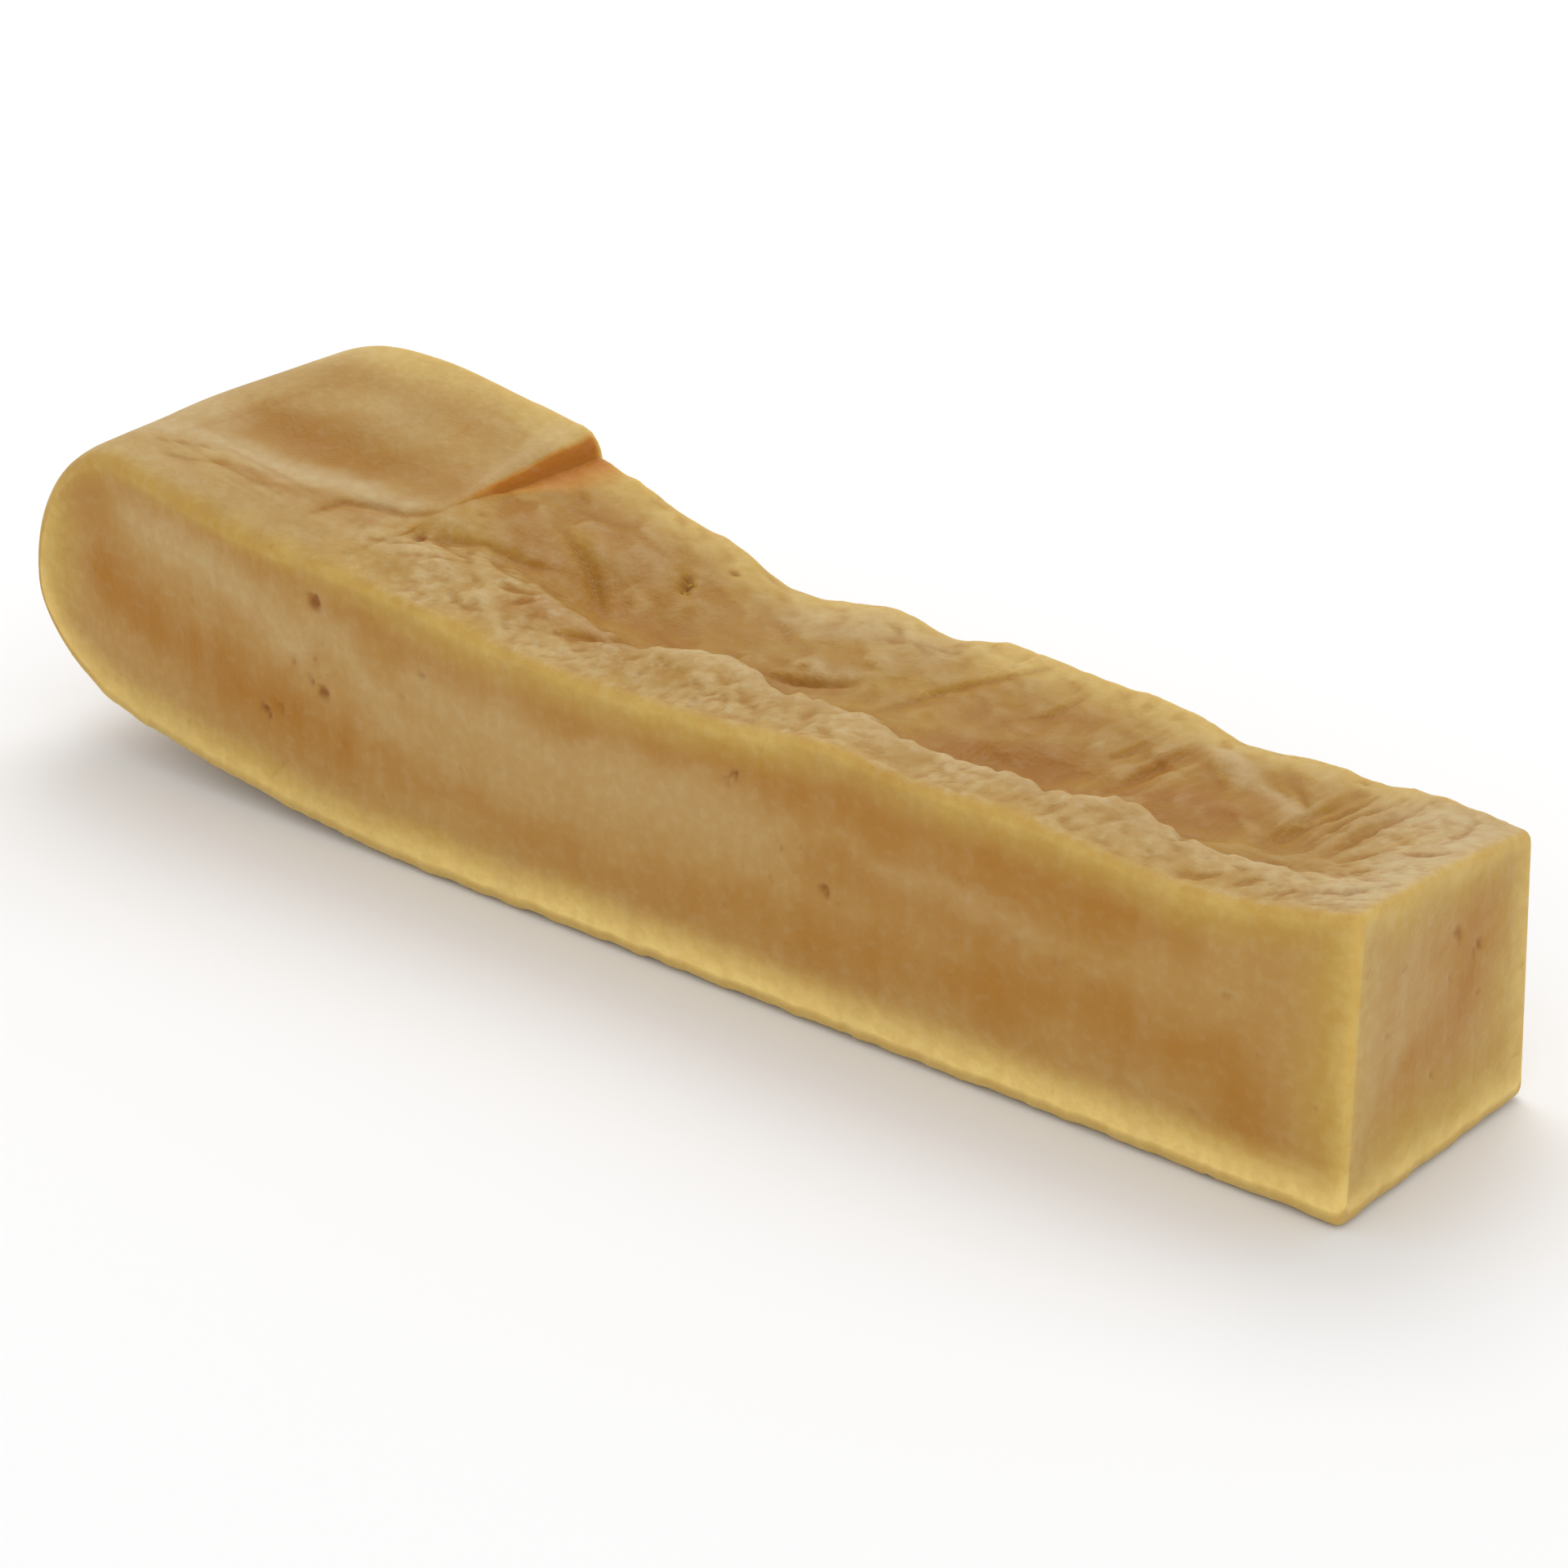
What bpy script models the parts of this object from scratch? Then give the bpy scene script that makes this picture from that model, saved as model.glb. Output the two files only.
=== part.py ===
"""A stick of hard, sun-dried yak cheese, sawn from a pressed slab.

The stick lies along X: its rounded nose, the old rim of the slab, is at -X and the
square sawn end is at +X. The two long sides are sawn flat. The top and the underside
are the slab's own skin: the top swells into a pillow over the nose, drops at a fold
and runs on as a wrinkled hollow behind a front rim; the underside is flat and curls
up under the nose.

Lengths in this file are millimetres until the vertices are made. A place on the top
is given as (along, across): along is measured from the nose tip, across from the
front side.
"""

import bmesh
import bpy
import numpy as np

MM = 0.001

# Driving sizes of the whole stick
LENGTH = 150.0
WIDTH = 28.0
EDGE_RADIUS = 0.9

# The nose, seen from the front side
TIP_HEIGHT = 16.2
NOSE_REACH_FRONT = 12.0
NOSE_REACH_BACK = 23.0
TIP_SET_BACK = 2.0
CURL_HEIGHT = 7.1
CURL_END = 50.0
CURL_POWER = 1.6

# The sawn end leans back a little at its top far corner
END_SKEW = 1.1
END_HEIGHT = 25.0

# Heights of the skin over the nose, as rails that run along the stick: each rail is
# its place across, then (along, height) stations
PILLOW_RAILS = (
    (0.0, ((0, 31.4), (12, 31.7), (20, 30.3), (30, 28.5), (40, 27.8), (52, 26.7))),
    (5.0, ((0, 32.6), (12, 32.7), (20, 31.5), (30, 30.0), (40, 28.9), (52, 27.6))),
    (9.5, ((0, 33.8), (12, 33.6), (20, 32.5), (30, 31.2), (40, 30.2), (52, 29.4))),
    (14.0, ((0, 35.0), (12, 34.7), (20, 33.6), (30, 32.2), (40, 31.4), (50, 31.0))),
    (20.0, ((0, 36.0), (12, 35.8), (20, 35.3), (30, 34.6), (40, 33.4), (50, 32.4))),
    (24.0, ((0, 36.4), (12, 36.4), (20, 36.6), (30, 36.2), (40, 34.8), (50, 33.6))),
    (28.0, ((0, 36.7), (12, 36.9), (22, 37.6), (30, 37.6), (40, 36.2), (48, 35.0), (56, 34.0))),
)

# Heights of the hollow beyond the fold
HOLLOW_RAILS = (
    (6.0, ((38, 29.2), (46, 28.9), (52, 27.6), (60, 26.4), (72, 25.2), (84, 24.8), (98, 25.0),
           (112, 24.2), (126, 24.2), (138, 24.8), (150, 27.0))),
    (13.0, ((40, 31.2), (46, 30.6), (52, 28.9), (60, 26.6), (70, 25.0), (84, 24.6), (98, 24.7),
            (112, 23.4), (126, 23.6), (138, 24.2), (150, 26.3))),
    (19.0, ((40, 32.0), (48, 30.7), (54, 29.4), (60, 28.2), (68, 26.2), (76, 24.9), (86, 25.2),
            (98, 25.2), (110, 24.2), (124, 23.7), (136, 24.2), (150, 25.5))),
    (24.0, ((40, 33.0), (49, 31.5), (54, 30.0), (60, 28.8), (68, 26.8), (76, 25.3), (85, 25.9),
            (91, 25.1), (98, 25.8), (108, 24.9), (122, 24.3), (138, 24.4), (150, 24.7))),
    (28.0, ((40, 33.4), (49.5, 32.3), (54, 31.1), (60, 28.9), (66.5, 27.6), (71, 25.4),
            (79, 25.6), (85, 26.5), (90, 25.2), (97, 26.4), (103, 26.2), (108, 25.8),
            (115, 25.6), (121, 24.1), (131, 24.5), (135, 24.1), (139, 24.7), (150, 24.0))),
)

# Heights of the front rim beyond the fold: at the sawn side, and at its inner edge
RIM_RAILS = (
    (0.0, ((30, 28.2), (42, 27.7), (52, 26.5), (62, 25.4), (78, 25.0), (90, 25.7), (98, 26.8),
           (106, 26.0), (118, 26.1), (131, 25.1), (141, 25.6), (150, 27.6))),
    (6.5, ((30, 30.0), (40, 29.2), (46, 28.9), (54, 28.0), (64, 27.0), (74, 26.6), (84, 26.9),
           (98, 26.7), (110, 26.6), (122, 27.0), (134, 26.0), (142, 26.2), (150, 27.0))),
)

# The inner edge of the front rim, as (along, across), and how far it takes to fall
RIM_EDGE = (
    (30, 6.0), (41, 7.0), (46, 8.0), (52, 8.2), (57, 7.6), (65, 6.4), (70, 5.2), (74, 6.4),
    (78, 8.2), (81, 8.6), (86, 6.4), (92, 6.2), (97, 6.4), (103, 5.0), (108, 5.2), (113, 5.6),
    (119, 4.2), (122, 5.6), (126, 5.8), (130, 5.0), (133, 4.8), (137, 5.4), (143, 5.6),
    (150, 5.0),
)
RIM_FALL = 3.2

# The fold, where the pillow ends: its line over the top and its blend width
FOLD_START = (42.5, 8.0)
FOLD_END = (48.6, 28.0)
FOLD_WIDTH = 1.0

# Dents in the skin: place, half sizes along and across, turn in degrees, depth
DENTS = (
    ((27.0, 12.8), (9.0, 3.2), 6, 0.6),
    ((109.0, 12.0), (6.5, 4.5), 10, 0.9),
    ((126.0, 12.5), (5.5, 3.5), 20, 0.6),
    ((134.0, 14.5), (3.2, 3.0), 0, 0.8),
    ((73.0, 14.0), (5.0, 4.0), 0, 0.3),
    ((61.0, 13.0), (3.0, 2.5), -30, 0.5),
)

# Bulges in the skin, written the same way with a height
BULGES = (
    ((63.0, 19.0), (5.0, 4.5), -35, 0.9),
    ((51.5, 15.5), (3.0, 3.5), -20, 0.4),
    ((80.0, 6.5), (4.5, 2.2), 0, 0.6),
    ((48.0, 6.0), (5.0, 1.8), 0, 0.4),
    ((92.0, 19.0), (5.5, 4.5), 30, 0.8),
    ((125.5, 4.5), (6.0, 2.4), -5, 0.5),
    ((125.5, 22.0), (7.0, 1.5), -26, 0.9),
)

# Creases: their line over the top, half width, depth
CREASES = (
    (((33.5, 5.0), (34.5, 8.4), (37.5, 9.6), (41.0, 10.0), (44.0, 11.4)), 0.9, 0.7),
    (((43.8, 7.4), (46.5, 9.4), (50.2, 11.0), (54.1, 11.6), (57.8, 13.6)), 0.9, 0.5),
    (((54.0, 17.2), (56.7, 15.7), (58.3, 15.0), (60.6, 13.8), (63.0, 12.4)), 1.0, 1.2),
    (((61.0, 3.4), (65.0, 4.6), (69.5, 6.6), (72.0, 9.5)), 0.8, 0.4),
    (((81.0, 11.8), (84.5, 13.6), (87.0, 14.0), (90.5, 14.6)), 1.2, 1.0),
    (((95.5, 10.5), (96.5, 15.4), (98.0, 18.6), (99.8, 22.0), (102.0, 26.0)), 1.1, 0.8),
    (((117.0, 14.0), (118.0, 19.0), (119.5, 24.0)), 1.0, 0.4),
    (((139.0, 12.6), (140.0, 17.2), (140.3, 21.0), (140.8, 24.8)), 0.9, 0.8),
    (((133.2, 15.5), (134.4, 19.0), (136.0, 24.0)), 0.9, 0.5),
    (((142.5, 4.0), (145.5, 4.6), (148.0, 7.0)), 0.8, 0.3),
    (((144.0, 15.8), (147.5, 17.6)), 0.9, 0.4),
)

# Crumpled skin: wave length, height, seed, and where it lies
CRUMPLE_LENGTH = 5.0
CRUMPLE_HEIGHT = 0.16
CRUMPLE_SEED = 7
CRUMPLE_WAVES = 9

# Mesh counts
NOSE_COLUMNS = 11
COLUMN_STEP = 1.7
FOLD_COLUMNS = (-1.3, -0.5, 0.0, 0.5, 1.3)
SIDE_ROWS = 7
SLICE_STEP = 1.6
EDGE_STEPS = 3


def hermite(value, places, heights, slopes, index):
    """Smooth curve through the stations index and index + 1, with the given slopes."""
    span = places[index + 1] - places[index]
    t = np.clip((value - places[index]) / span, 0.0, 1.0)
    return (
        heights[0] * (2 * t**3 - 3 * t**2 + 1)
        + slopes[0] * span * (t**3 - 2 * t**2 + t)
        + heights[1] * (3 * t**2 - 2 * t**3)
        + slopes[1] * span * (t**3 - t**2)
    )


def rail_height(along, stations):
    """Height of one rail at each place along the stick."""
    places, heights = np.array(stations, float).T
    slopes = np.gradient(heights, places)
    index = np.clip(np.searchsorted(places, along) - 1, 0, len(places) - 2)
    pair = (heights[index], heights[index + 1])
    return hermite(along, places, pair, (slopes[index], slopes[index + 1]), index)


def net_height(along, across, rails):
    """Height of a set of rails at each place, smooth along the stick and across it."""
    sides = np.array([side for side, _ in rails])
    heights = np.array([rail_height(along, stations) for _, stations in rails])
    slopes = np.gradient(heights, sides, axis=0)
    index = np.clip(np.searchsorted(sides, across) - 1, 0, len(sides) - 2)

    def pick(table, step):
        return np.take_along_axis(table, (index + step)[None], axis=0)[0]

    pair = (pick(heights, 0), pick(heights, 1))
    return hermite(across, sides, pair, (pick(slopes, 0), pick(slopes, 1)), index)


def smooth_step(value):
    """0 below 0, 1 above 1 and smooth in between."""
    t = np.clip(value, 0.0, 1.0)
    return t * t * (3 - 2 * t)


def fold_line(across):
    """Where the fold crosses the top, as a place along the stick."""
    share = (across - FOLD_START[1]) / (FOLD_END[1] - FOLD_START[1])
    return FOLD_START[0] + (FOLD_END[0] - FOLD_START[0]) * share


def mound(along, across, place, half_sizes, turn):
    """A round hill of height 1 with its long way turned by so many degrees."""
    angle = np.radians(turn)
    x, y = along - place[0], across - place[1]
    u = (x * np.cos(angle) + y * np.sin(angle)) / half_sizes[0]
    v = (y * np.cos(angle) - x * np.sin(angle)) / half_sizes[1]
    return np.exp(-(u * u + v * v))


def groove(along, across, line, half_width):
    """A groove of depth 1 that follows a bent line and fades out at both its ends."""
    ends = np.array(line, float)
    lengths = np.hypot(*np.diff(ends, axis=0).T)
    passed = np.concatenate([[0.0], np.cumsum(lengths)])
    nearest = np.full_like(along, np.inf)
    share = np.zeros_like(along)
    for start, run, length, before in zip(ends, np.diff(ends, axis=0), lengths, passed):
        x, y = along - start[0], across - start[1]
        t = np.clip((x * run[0] + y * run[1]) / length**2, 0.0, 1.0)
        gap = np.hypot(x - t * run[0], y - t * run[1])
        share = np.where(gap < nearest, (before + t * length) / passed[-1], share)
        nearest = np.minimum(gap, nearest)
    return np.exp(-((nearest / half_width) ** 2)) * (0.3 + 0.7 * np.sin(np.pi * share))


def crumple(along, across):
    """Uneven waves between -1 and 1: plane waves in seeded directions, each bent by
    the one before it."""
    draw = np.random.default_rng(CRUMPLE_SEED)
    total = np.zeros_like(along)
    wave = np.zeros_like(along)
    for _ in range(CRUMPLE_WAVES):
        angle = draw.uniform(0, np.pi)
        pace = 2 * np.pi / (CRUMPLE_LENGTH * draw.uniform(0.7, 1.6))
        way = along * np.cos(angle) + across * np.sin(angle)
        wave = np.sin(way * pace + draw.uniform(0, 2 * np.pi) + 1.2 * wave)
        total += wave
    return total / np.sqrt(CRUMPLE_WAVES)


def hollow_height(along, across):
    """Height beyond the fold: the front rim, falling into the hollow behind it."""
    rim = net_height(along, across, RIM_RAILS)
    hollow = net_height(along, across, HOLLOW_RAILS)
    edge = rail_height(along, RIM_EDGE)
    on_rim = smooth_step((edge + RIM_FALL - across) / RIM_FALL)
    return hollow + (rim - hollow) * on_rim


def top_height(along, across):
    """Height of the skin over the whole top, before the nose rounds it off."""
    pillow = net_height(along, across, PILLOW_RAILS)
    hollow = hollow_height(along, across)
    beyond = smooth_step((along - fold_line(across)) / FOLD_WIDTH + 0.5)
    height = pillow * (1 - beyond) + hollow * beyond
    for place, half_sizes, turn, depth in DENTS:
        height -= depth * mound(along, across, place, half_sizes, turn)
    for place, half_sizes, turn, rise in BULGES:
        height += rise * mound(along, across, place, half_sizes, turn)
    for line, half_width, depth in CREASES:
        height -= depth * groove(along, across, line, half_width)
    rough = smooth_step((along - 34) / 22) * smooth_step((LENGTH - along) / 12)
    rough *= smooth_step((across - 0.5) / 4)
    return height + CRUMPLE_HEIGHT * rough * crumple(along, across)


def base_height(along):
    """Height of the underside: flat, and curling up towards the nose."""
    left = np.clip((CURL_END - along) / CURL_END, 0.0, 1.0)
    return CURL_HEIGHT * left**CURL_POWER


def columns(across):
    """Places along the stick of the mesh columns, for each place across: an arc's
    worth over the nose, then even steps that close up at the fold and lean with it."""
    reach = NOSE_REACH_FRONT + (NOSE_REACH_BACK - NOSE_REACH_FRONT) * across / WIDTH
    tip = TIP_SET_BACK * (across / WIDTH) ** 2
    turns = np.linspace(0, np.pi / 2, NOSE_COLUMNS)
    nose = tip[:, None] + reach[:, None] * (1 - np.cos(turns))
    fold = fold_line(across)[:, None] + np.array(FOLD_COLUMNS)
    before = int((FOLD_START[0] - NOSE_REACH_BACK) / COLUMN_STEP) + 2
    after = int((LENGTH - FOLD_END[0]) / COLUMN_STEP)
    first = np.linspace(nose[:, -1], fold[:, 0], before, axis=1)[:, 1:]
    last = np.linspace(fold[:, -1], np.full(len(across), LENGTH), after, axis=1)[:, 1:]
    return np.hstack([nose, first, fold[:, 1:], last]), tip, reach


def slice_outlines(across):
    """The top and underside of each slice through the stick: for each place across,
    the columns' places along, their heights on top and their heights below. Over the
    nose both close on the tip as quarter ellipses."""
    along, tip, reach = columns(across)
    side = np.broadcast_to(across[:, None], along.shape)
    turn = np.clip(1 - (along - tip[:, None]) / reach[:, None], 0.0, 1.0)
    arc = np.sqrt(1 - turn**2)
    top = TIP_HEIGHT + (top_height(along, side) - TIP_HEIGHT) * arc
    base = TIP_HEIGHT + (base_height(along) - TIP_HEIGHT) * arc
    return along, top, base


def slice_loops(across):
    """Each slice as one closed loop of (along, height) points: the underside from the
    sawn end to the tip, the top back to the sawn end, and the sawn end down."""
    along, top, base = slice_outlines(across)
    share = np.linspace(0, 1, SIDE_ROWS + 1)[1:-1]
    drop = top[:, -1:] * (1 - share) + base[:, -1:] * share
    under = np.stack([along, base], -1)[:, ::-1]
    over = np.stack([along, top], -1)[:, 1:]
    end = np.stack([np.full_like(drop, LENGTH), drop], -1)
    return np.concatenate([under, over, end], axis=1)


def inset_loops(loops, inset):
    """Each loop moved inwards by its own inset, square to its line."""
    run = np.roll(loops, -1, axis=1) - np.roll(loops, 1, axis=1)
    run /= np.linalg.norm(run, axis=2, keepdims=True)
    inward = np.stack([run[..., 1], -run[..., 0]], -1)
    return loops + inward * inset[:, None, None]


def slice_places():
    """Places across of the slices, and how far the rounded edges draw each one in."""
    turns = np.linspace(0, np.pi / 2, EDGE_STEPS + 1)
    edge = EDGE_RADIUS * (1 - np.cos(turns))
    draw_in = EDGE_RADIUS * (1 - np.sin(turns))
    count = int(round((WIDTH - 2 * EDGE_RADIUS) / SLICE_STEP)) + 1
    middle = np.linspace(EDGE_RADIUS, WIDTH - EDGE_RADIUS, count)
    across = np.concatenate([edge[:-1], middle, (WIDTH - edge[:-1])[::-1]])
    inset = np.concatenate([draw_in[:-1], np.zeros(count), draw_in[:-1][::-1]])
    return across, inset


def skewed_end(along, across, height):
    """Draws the sawn end back towards its top far corner."""
    near_end = smooth_step((along - (LENGTH - 12)) / 12)
    return along - END_SKEW * near_end * (across / WIDTH) * (height / END_HEIGHT)


def vertex(mesh, along, across, height):
    """Adds one vertex, in metres, with the origin under the middle of the stick."""
    x = skewed_end(along, across, height) - LENGTH / 2
    place = (x * MM, (across - WIDTH / 2) * MM, height * MM)
    return mesh.verts.new(place)


def side_face(mesh, ring, across):
    """Fills a sawn side with a ladder of faces between the underside and the top."""
    count = (len(ring) - SIDE_ROWS + 2) // 2
    tip = count - 1
    ends = [ring[0]] + [ring[-k] for k in range(1, SIDE_ROWS)] + [ring[2 * tip]]
    previous = ends
    for column in range(1, tip):
        low, high = ring[column], ring[2 * tip - column]
        rungs = [low]
        for row in range(1, SIDE_ROWS):
            place = low.co.lerp(high.co, row / SIDE_ROWS)
            rungs.append(mesh.verts.new(place))
        rungs.append(high)
        for row in range(SIDE_ROWS):
            mesh.faces.new((previous[row], previous[row + 1], rungs[row + 1], rungs[row]))
        previous = rungs
    for row in range(SIDE_ROWS):
        mesh.faces.new((previous[row], previous[row + 1], ring[tip]))


def build_stick():
    """Bridges the slices into a skin, fills both sawn sides and returns the mesh."""
    across, inset = slice_places()
    loops = inset_loops(slice_loops(across), inset)
    loops[..., 1] = np.maximum(loops[..., 1], 0.0)
    mesh = bmesh.new()
    rings = [
        [vertex(mesh, along, side, height) for along, height in loop]
        for side, loop in zip(across, loops)
    ]
    for ring, following in zip(rings, rings[1:]):
        for k in range(len(ring)):
            nxt = (k + 1) % len(ring)
            mesh.faces.new((ring[k], ring[nxt], following[nxt], following[k]))
    side_face(mesh, rings[0], across[0])
    side_face(mesh, rings[-1], across[-1])
    bmesh.ops.recalc_face_normals(mesh, faces=mesh.faces)
    bmesh.ops.triangulate(mesh, faces=mesh.faces)
    return mesh


def cheese_material():
    """Hard, dry cheese: a pale amber with a low sheen."""
    material = bpy.data.materials.new("dried_cheese")
    material.use_nodes = True
    shader = material.node_tree.nodes["Principled BSDF"]
    shader.inputs["Base Color"].default_value = (0.50, 0.31, 0.11, 1.0)
    shader.inputs["Roughness"].default_value = 0.55
    shader.inputs["Metallic"].default_value = 0.0
    return material


def main():
    for old in list(bpy.data.objects):
        bpy.data.objects.remove(old)
    mesh = build_stick()
    data = bpy.data.meshes.new("cheese_stick")
    mesh.to_mesh(data)
    mesh.free()
    data.materials.append(cheese_material())
    data.shade_smooth()
    data.set_sharp_from_angle(angle=np.radians(50))
    stick = bpy.data.objects.new("cheese_stick", data)
    bpy.context.scene.collection.objects.link(stick)


main()
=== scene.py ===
# %% [markdown]
# # A stick of dried yak cheese
#
# The object is one stick of very hard cheese, sawn from a pressed and sun-dried slab. Two of its long
# sides and one end are flat saw cuts. The top, the underside and the nose are the slab's own skin.
# The solid model gives its size and its main forms. This lesson makes the same stick again on a much
# finer grid, with numpy, so that folds, wrinkles, pores and saw marks become real shape, and then
# gives it the look of dense, waxy, slightly see-through cheese.

# %% Load the fixed frame
import bpy
import numpy as np
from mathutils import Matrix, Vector


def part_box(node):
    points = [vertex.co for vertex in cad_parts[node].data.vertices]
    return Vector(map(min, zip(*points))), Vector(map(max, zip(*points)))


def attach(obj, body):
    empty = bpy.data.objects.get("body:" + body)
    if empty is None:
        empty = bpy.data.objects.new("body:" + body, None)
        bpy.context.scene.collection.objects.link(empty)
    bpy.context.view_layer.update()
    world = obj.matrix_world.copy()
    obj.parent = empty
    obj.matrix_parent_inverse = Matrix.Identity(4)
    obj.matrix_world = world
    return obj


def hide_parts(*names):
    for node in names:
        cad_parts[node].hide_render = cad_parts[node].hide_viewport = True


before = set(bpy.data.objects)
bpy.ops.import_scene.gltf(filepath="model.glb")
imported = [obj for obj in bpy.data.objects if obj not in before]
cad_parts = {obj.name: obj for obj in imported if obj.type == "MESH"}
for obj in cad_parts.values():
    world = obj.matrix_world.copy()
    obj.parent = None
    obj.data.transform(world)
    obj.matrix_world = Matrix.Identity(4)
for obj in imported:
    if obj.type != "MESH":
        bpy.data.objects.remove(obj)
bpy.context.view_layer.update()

# %% [markdown]
# ## Sizes
#
# Lengths are worked in millimetres and turned into metres only when the mesh is made. A place on the
# top is (along, across): along counts from the nose tip to the sawn end, across from the front side
# to the back one. The stick's length and width come from the solid it replaces, so the two can't
# drift apart.

# %% Sizes of the stick
MM = 0.001
low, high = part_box("cheese_stick")
LENGTH, WIDTH, TALL = ((b - a) / MM for a, b in zip(low, high))
print(f"stick {LENGTH:.1f} x {WIDTH:.1f} x {TALL:.1f} mm")

# %% [markdown]
# ## Rails
#
# The skin of the slab isn't a shape with a name, so it is drawn the way a boat builder draws a hull:
# a few rails run along the stick, each a smooth curve through measured heights, and the surface is
# swept across from rail to rail. Sculpting by hand could do it too, but rails stay exact, repeatable
# and easy to correct, one number at a time.

# %% Smooth curves through stations
def hermite(value, places, heights, slopes, index):
    """Cubic through two stations: each end's height and slope, weighted by the four Hermite
    polynomials of the share of the way between them."""
    span = places[index + 1] - places[index]
    t = np.clip((value - places[index]) / span, 0.0, 1.0)
    return (
        heights[0] * (2 * t**3 - 3 * t**2 + 1)
        + slopes[0] * span * (t**3 - 2 * t**2 + t)
        + heights[1] * (3 * t**2 - 2 * t**3)
        + slopes[1] * span * (t**3 - t**2)
    )


def rail_height(along, stations):
    """Height of one rail: a Hermite cubic between the two stations round each place, with slopes
    taken from the neighbouring stations."""
    places, heights = np.array(stations, float).T
    slopes = np.gradient(heights, places)
    index = np.clip(np.searchsorted(places, along) - 1, 0, len(places) - 2)
    pair = (heights[index], heights[index + 1])
    return hermite(along, places, pair, (slopes[index], slopes[index + 1]), index)


def net_height(along, across, rails):
    """Height of a set of rails: every rail's height at that place along, then a Hermite cubic
    across from rail to rail."""
    sides = np.array([side for side, _ in rails])
    heights = np.array([rail_height(along, stations) for _, stations in rails])
    slopes = np.gradient(heights, sides, axis=0)
    index = np.clip(np.searchsorted(sides, across) - 1, 0, len(sides) - 2)

    def pick(table, step):
        return np.take_along_axis(table, (index + step)[None], axis=0)[0]

    pair = (pick(heights, 0), pick(heights, 1))
    return hermite(across, sides, pair, (pick(slopes, 0), pick(slopes, 1)), index)


def smooth_step(value):
    """0 below 0, 1 above 1, and 3t^2 - 2t^3 in between."""
    t = np.clip(value, 0.0, 1.0)
    return t * t * (3 - 2 * t)


# %% The pillow over the nose: every rail as its place across and its (along, height) stations
PILLOW_RAILS = (
    (0.0, ((0, 31.4), (12, 31.7), (20, 30.3), (30, 28.5), (40, 27.8), (52, 26.7))),
    (5.0, ((0, 32.6), (12, 32.7), (20, 31.5), (30, 30), (40, 28.9), (52, 27.6))),
    (9.5, ((0, 33.8), (12, 33.6), (20, 32.5), (30, 31.2), (40, 30.2), (52, 29.4))),
    (14.0, ((0, 35), (12, 34.7), (20, 33.6), (30, 32.2), (40, 31.4), (50, 31))),
    (20.0, ((0, 36), (12, 35.8), (20, 35.3), (30, 34.6), (40, 33.4), (50, 32.4))),
    (24.0, ((0, 36.4), (12, 36.4), (20, 36.6), (30, 36.2), (40, 34.8), (50, 33.6))),
    (28.0, ((0, 36.7), (12, 36.9), (22, 37.6), (30, 37.6), (40, 36.2), (48, 35), (56, 34))),
)

# %% [markdown]
# ## Uneven waves
#
# Nothing on this skin is straight or evenly spaced. A wave that is bent by another wave, and that one
# by a third, gives a smooth line or surface that never repeats. It serves for every outline and
# swell below. Its seeds are fixed, so every run gives the same cheese.

# %% Uneven waves from a seed
def crumple(along, across, length, seed, count, ways=(0.0, np.pi)):
    """Mostly between -1 and 1: sine waves in seeded directions between two angles, each bent by
    the one before it, added up and divided by the root of their number."""
    draw = np.random.default_rng(seed)
    total = np.zeros_like(along)
    wave = np.zeros_like(along)
    for _ in range(count):
        angle = draw.uniform(*ways)
        pace = 2 * np.pi / (length * draw.uniform(0.7, 1.6))
        way = along * np.cos(angle) + across * np.sin(angle)
        wave = np.sin(way * pace + draw.uniform(0, 2 * np.pi) + 1.2 * wave)
        total += wave
    return total / np.sqrt(count)


# %% The hollow beyond the fold and its front rim
HOLLOW_RAILS = (
    (6.0, ((38, 29.2), (46, 28.9), (52, 27.6), (60, 26.4), (72, 25.2), (84, 24.8), (98, 25),
           (112, 24.2), (126, 24.2), (138, 24.8), (150, 27))),
    (13.0, ((40, 31.2), (46, 30.6), (52, 28.9), (60, 26.6), (70, 25), (84, 24.6), (98, 24.7),
            (112, 23.4), (126, 23.6), (138, 24.2), (150, 26.3))),
    (19.0, ((40, 32), (48, 30.7), (54, 29.4), (60, 28.2), (68, 26.2), (76, 24.9), (86, 25.2),
            (98, 25.2), (110, 24.2), (124, 23.7), (136, 24.2), (150, 25.5))),
    (24.0, ((40, 33), (49, 31.5), (54, 30), (60, 28.8), (68, 26.8), (76, 25.3), (85, 25.9),
            (91, 25.1), (98, 25.8), (108, 24.9), (122, 24.3), (138, 24.4), (150, 24.7))),
    (28.0, ((40, 33.4), (49.5, 32.3), (54, 31.1), (60, 28.9), (66.5, 27.6), (71, 25.4),
            (79, 25.6), (85, 26.5), (90, 25.2), (97, 26.4), (103, 26.2), (108, 25.8),
            (115, 25.6), (121, 24.1), (131, 24.5), (135, 24.1), (139, 24.7), (150, 24))),
)
RIM_RAILS = (
    (0.0, ((30, 28.2), (42, 27.7), (52, 26.5), (62, 25.4), (78, 25), (90, 25.7), (98, 26.8),
           (106, 26), (118, 26.1), (131, 25.1), (141, 25.6), (150, 27.6))),
    (6.5, ((30, 30), (40, 29.2), (46, 28.9), (54, 28), (64, 27), (74, 26.6), (84, 26.9),
           (98, 26.7), (110, 26.6), (122, 27), (134, 26), (142, 26.2), (150, 27))),
)
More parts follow.
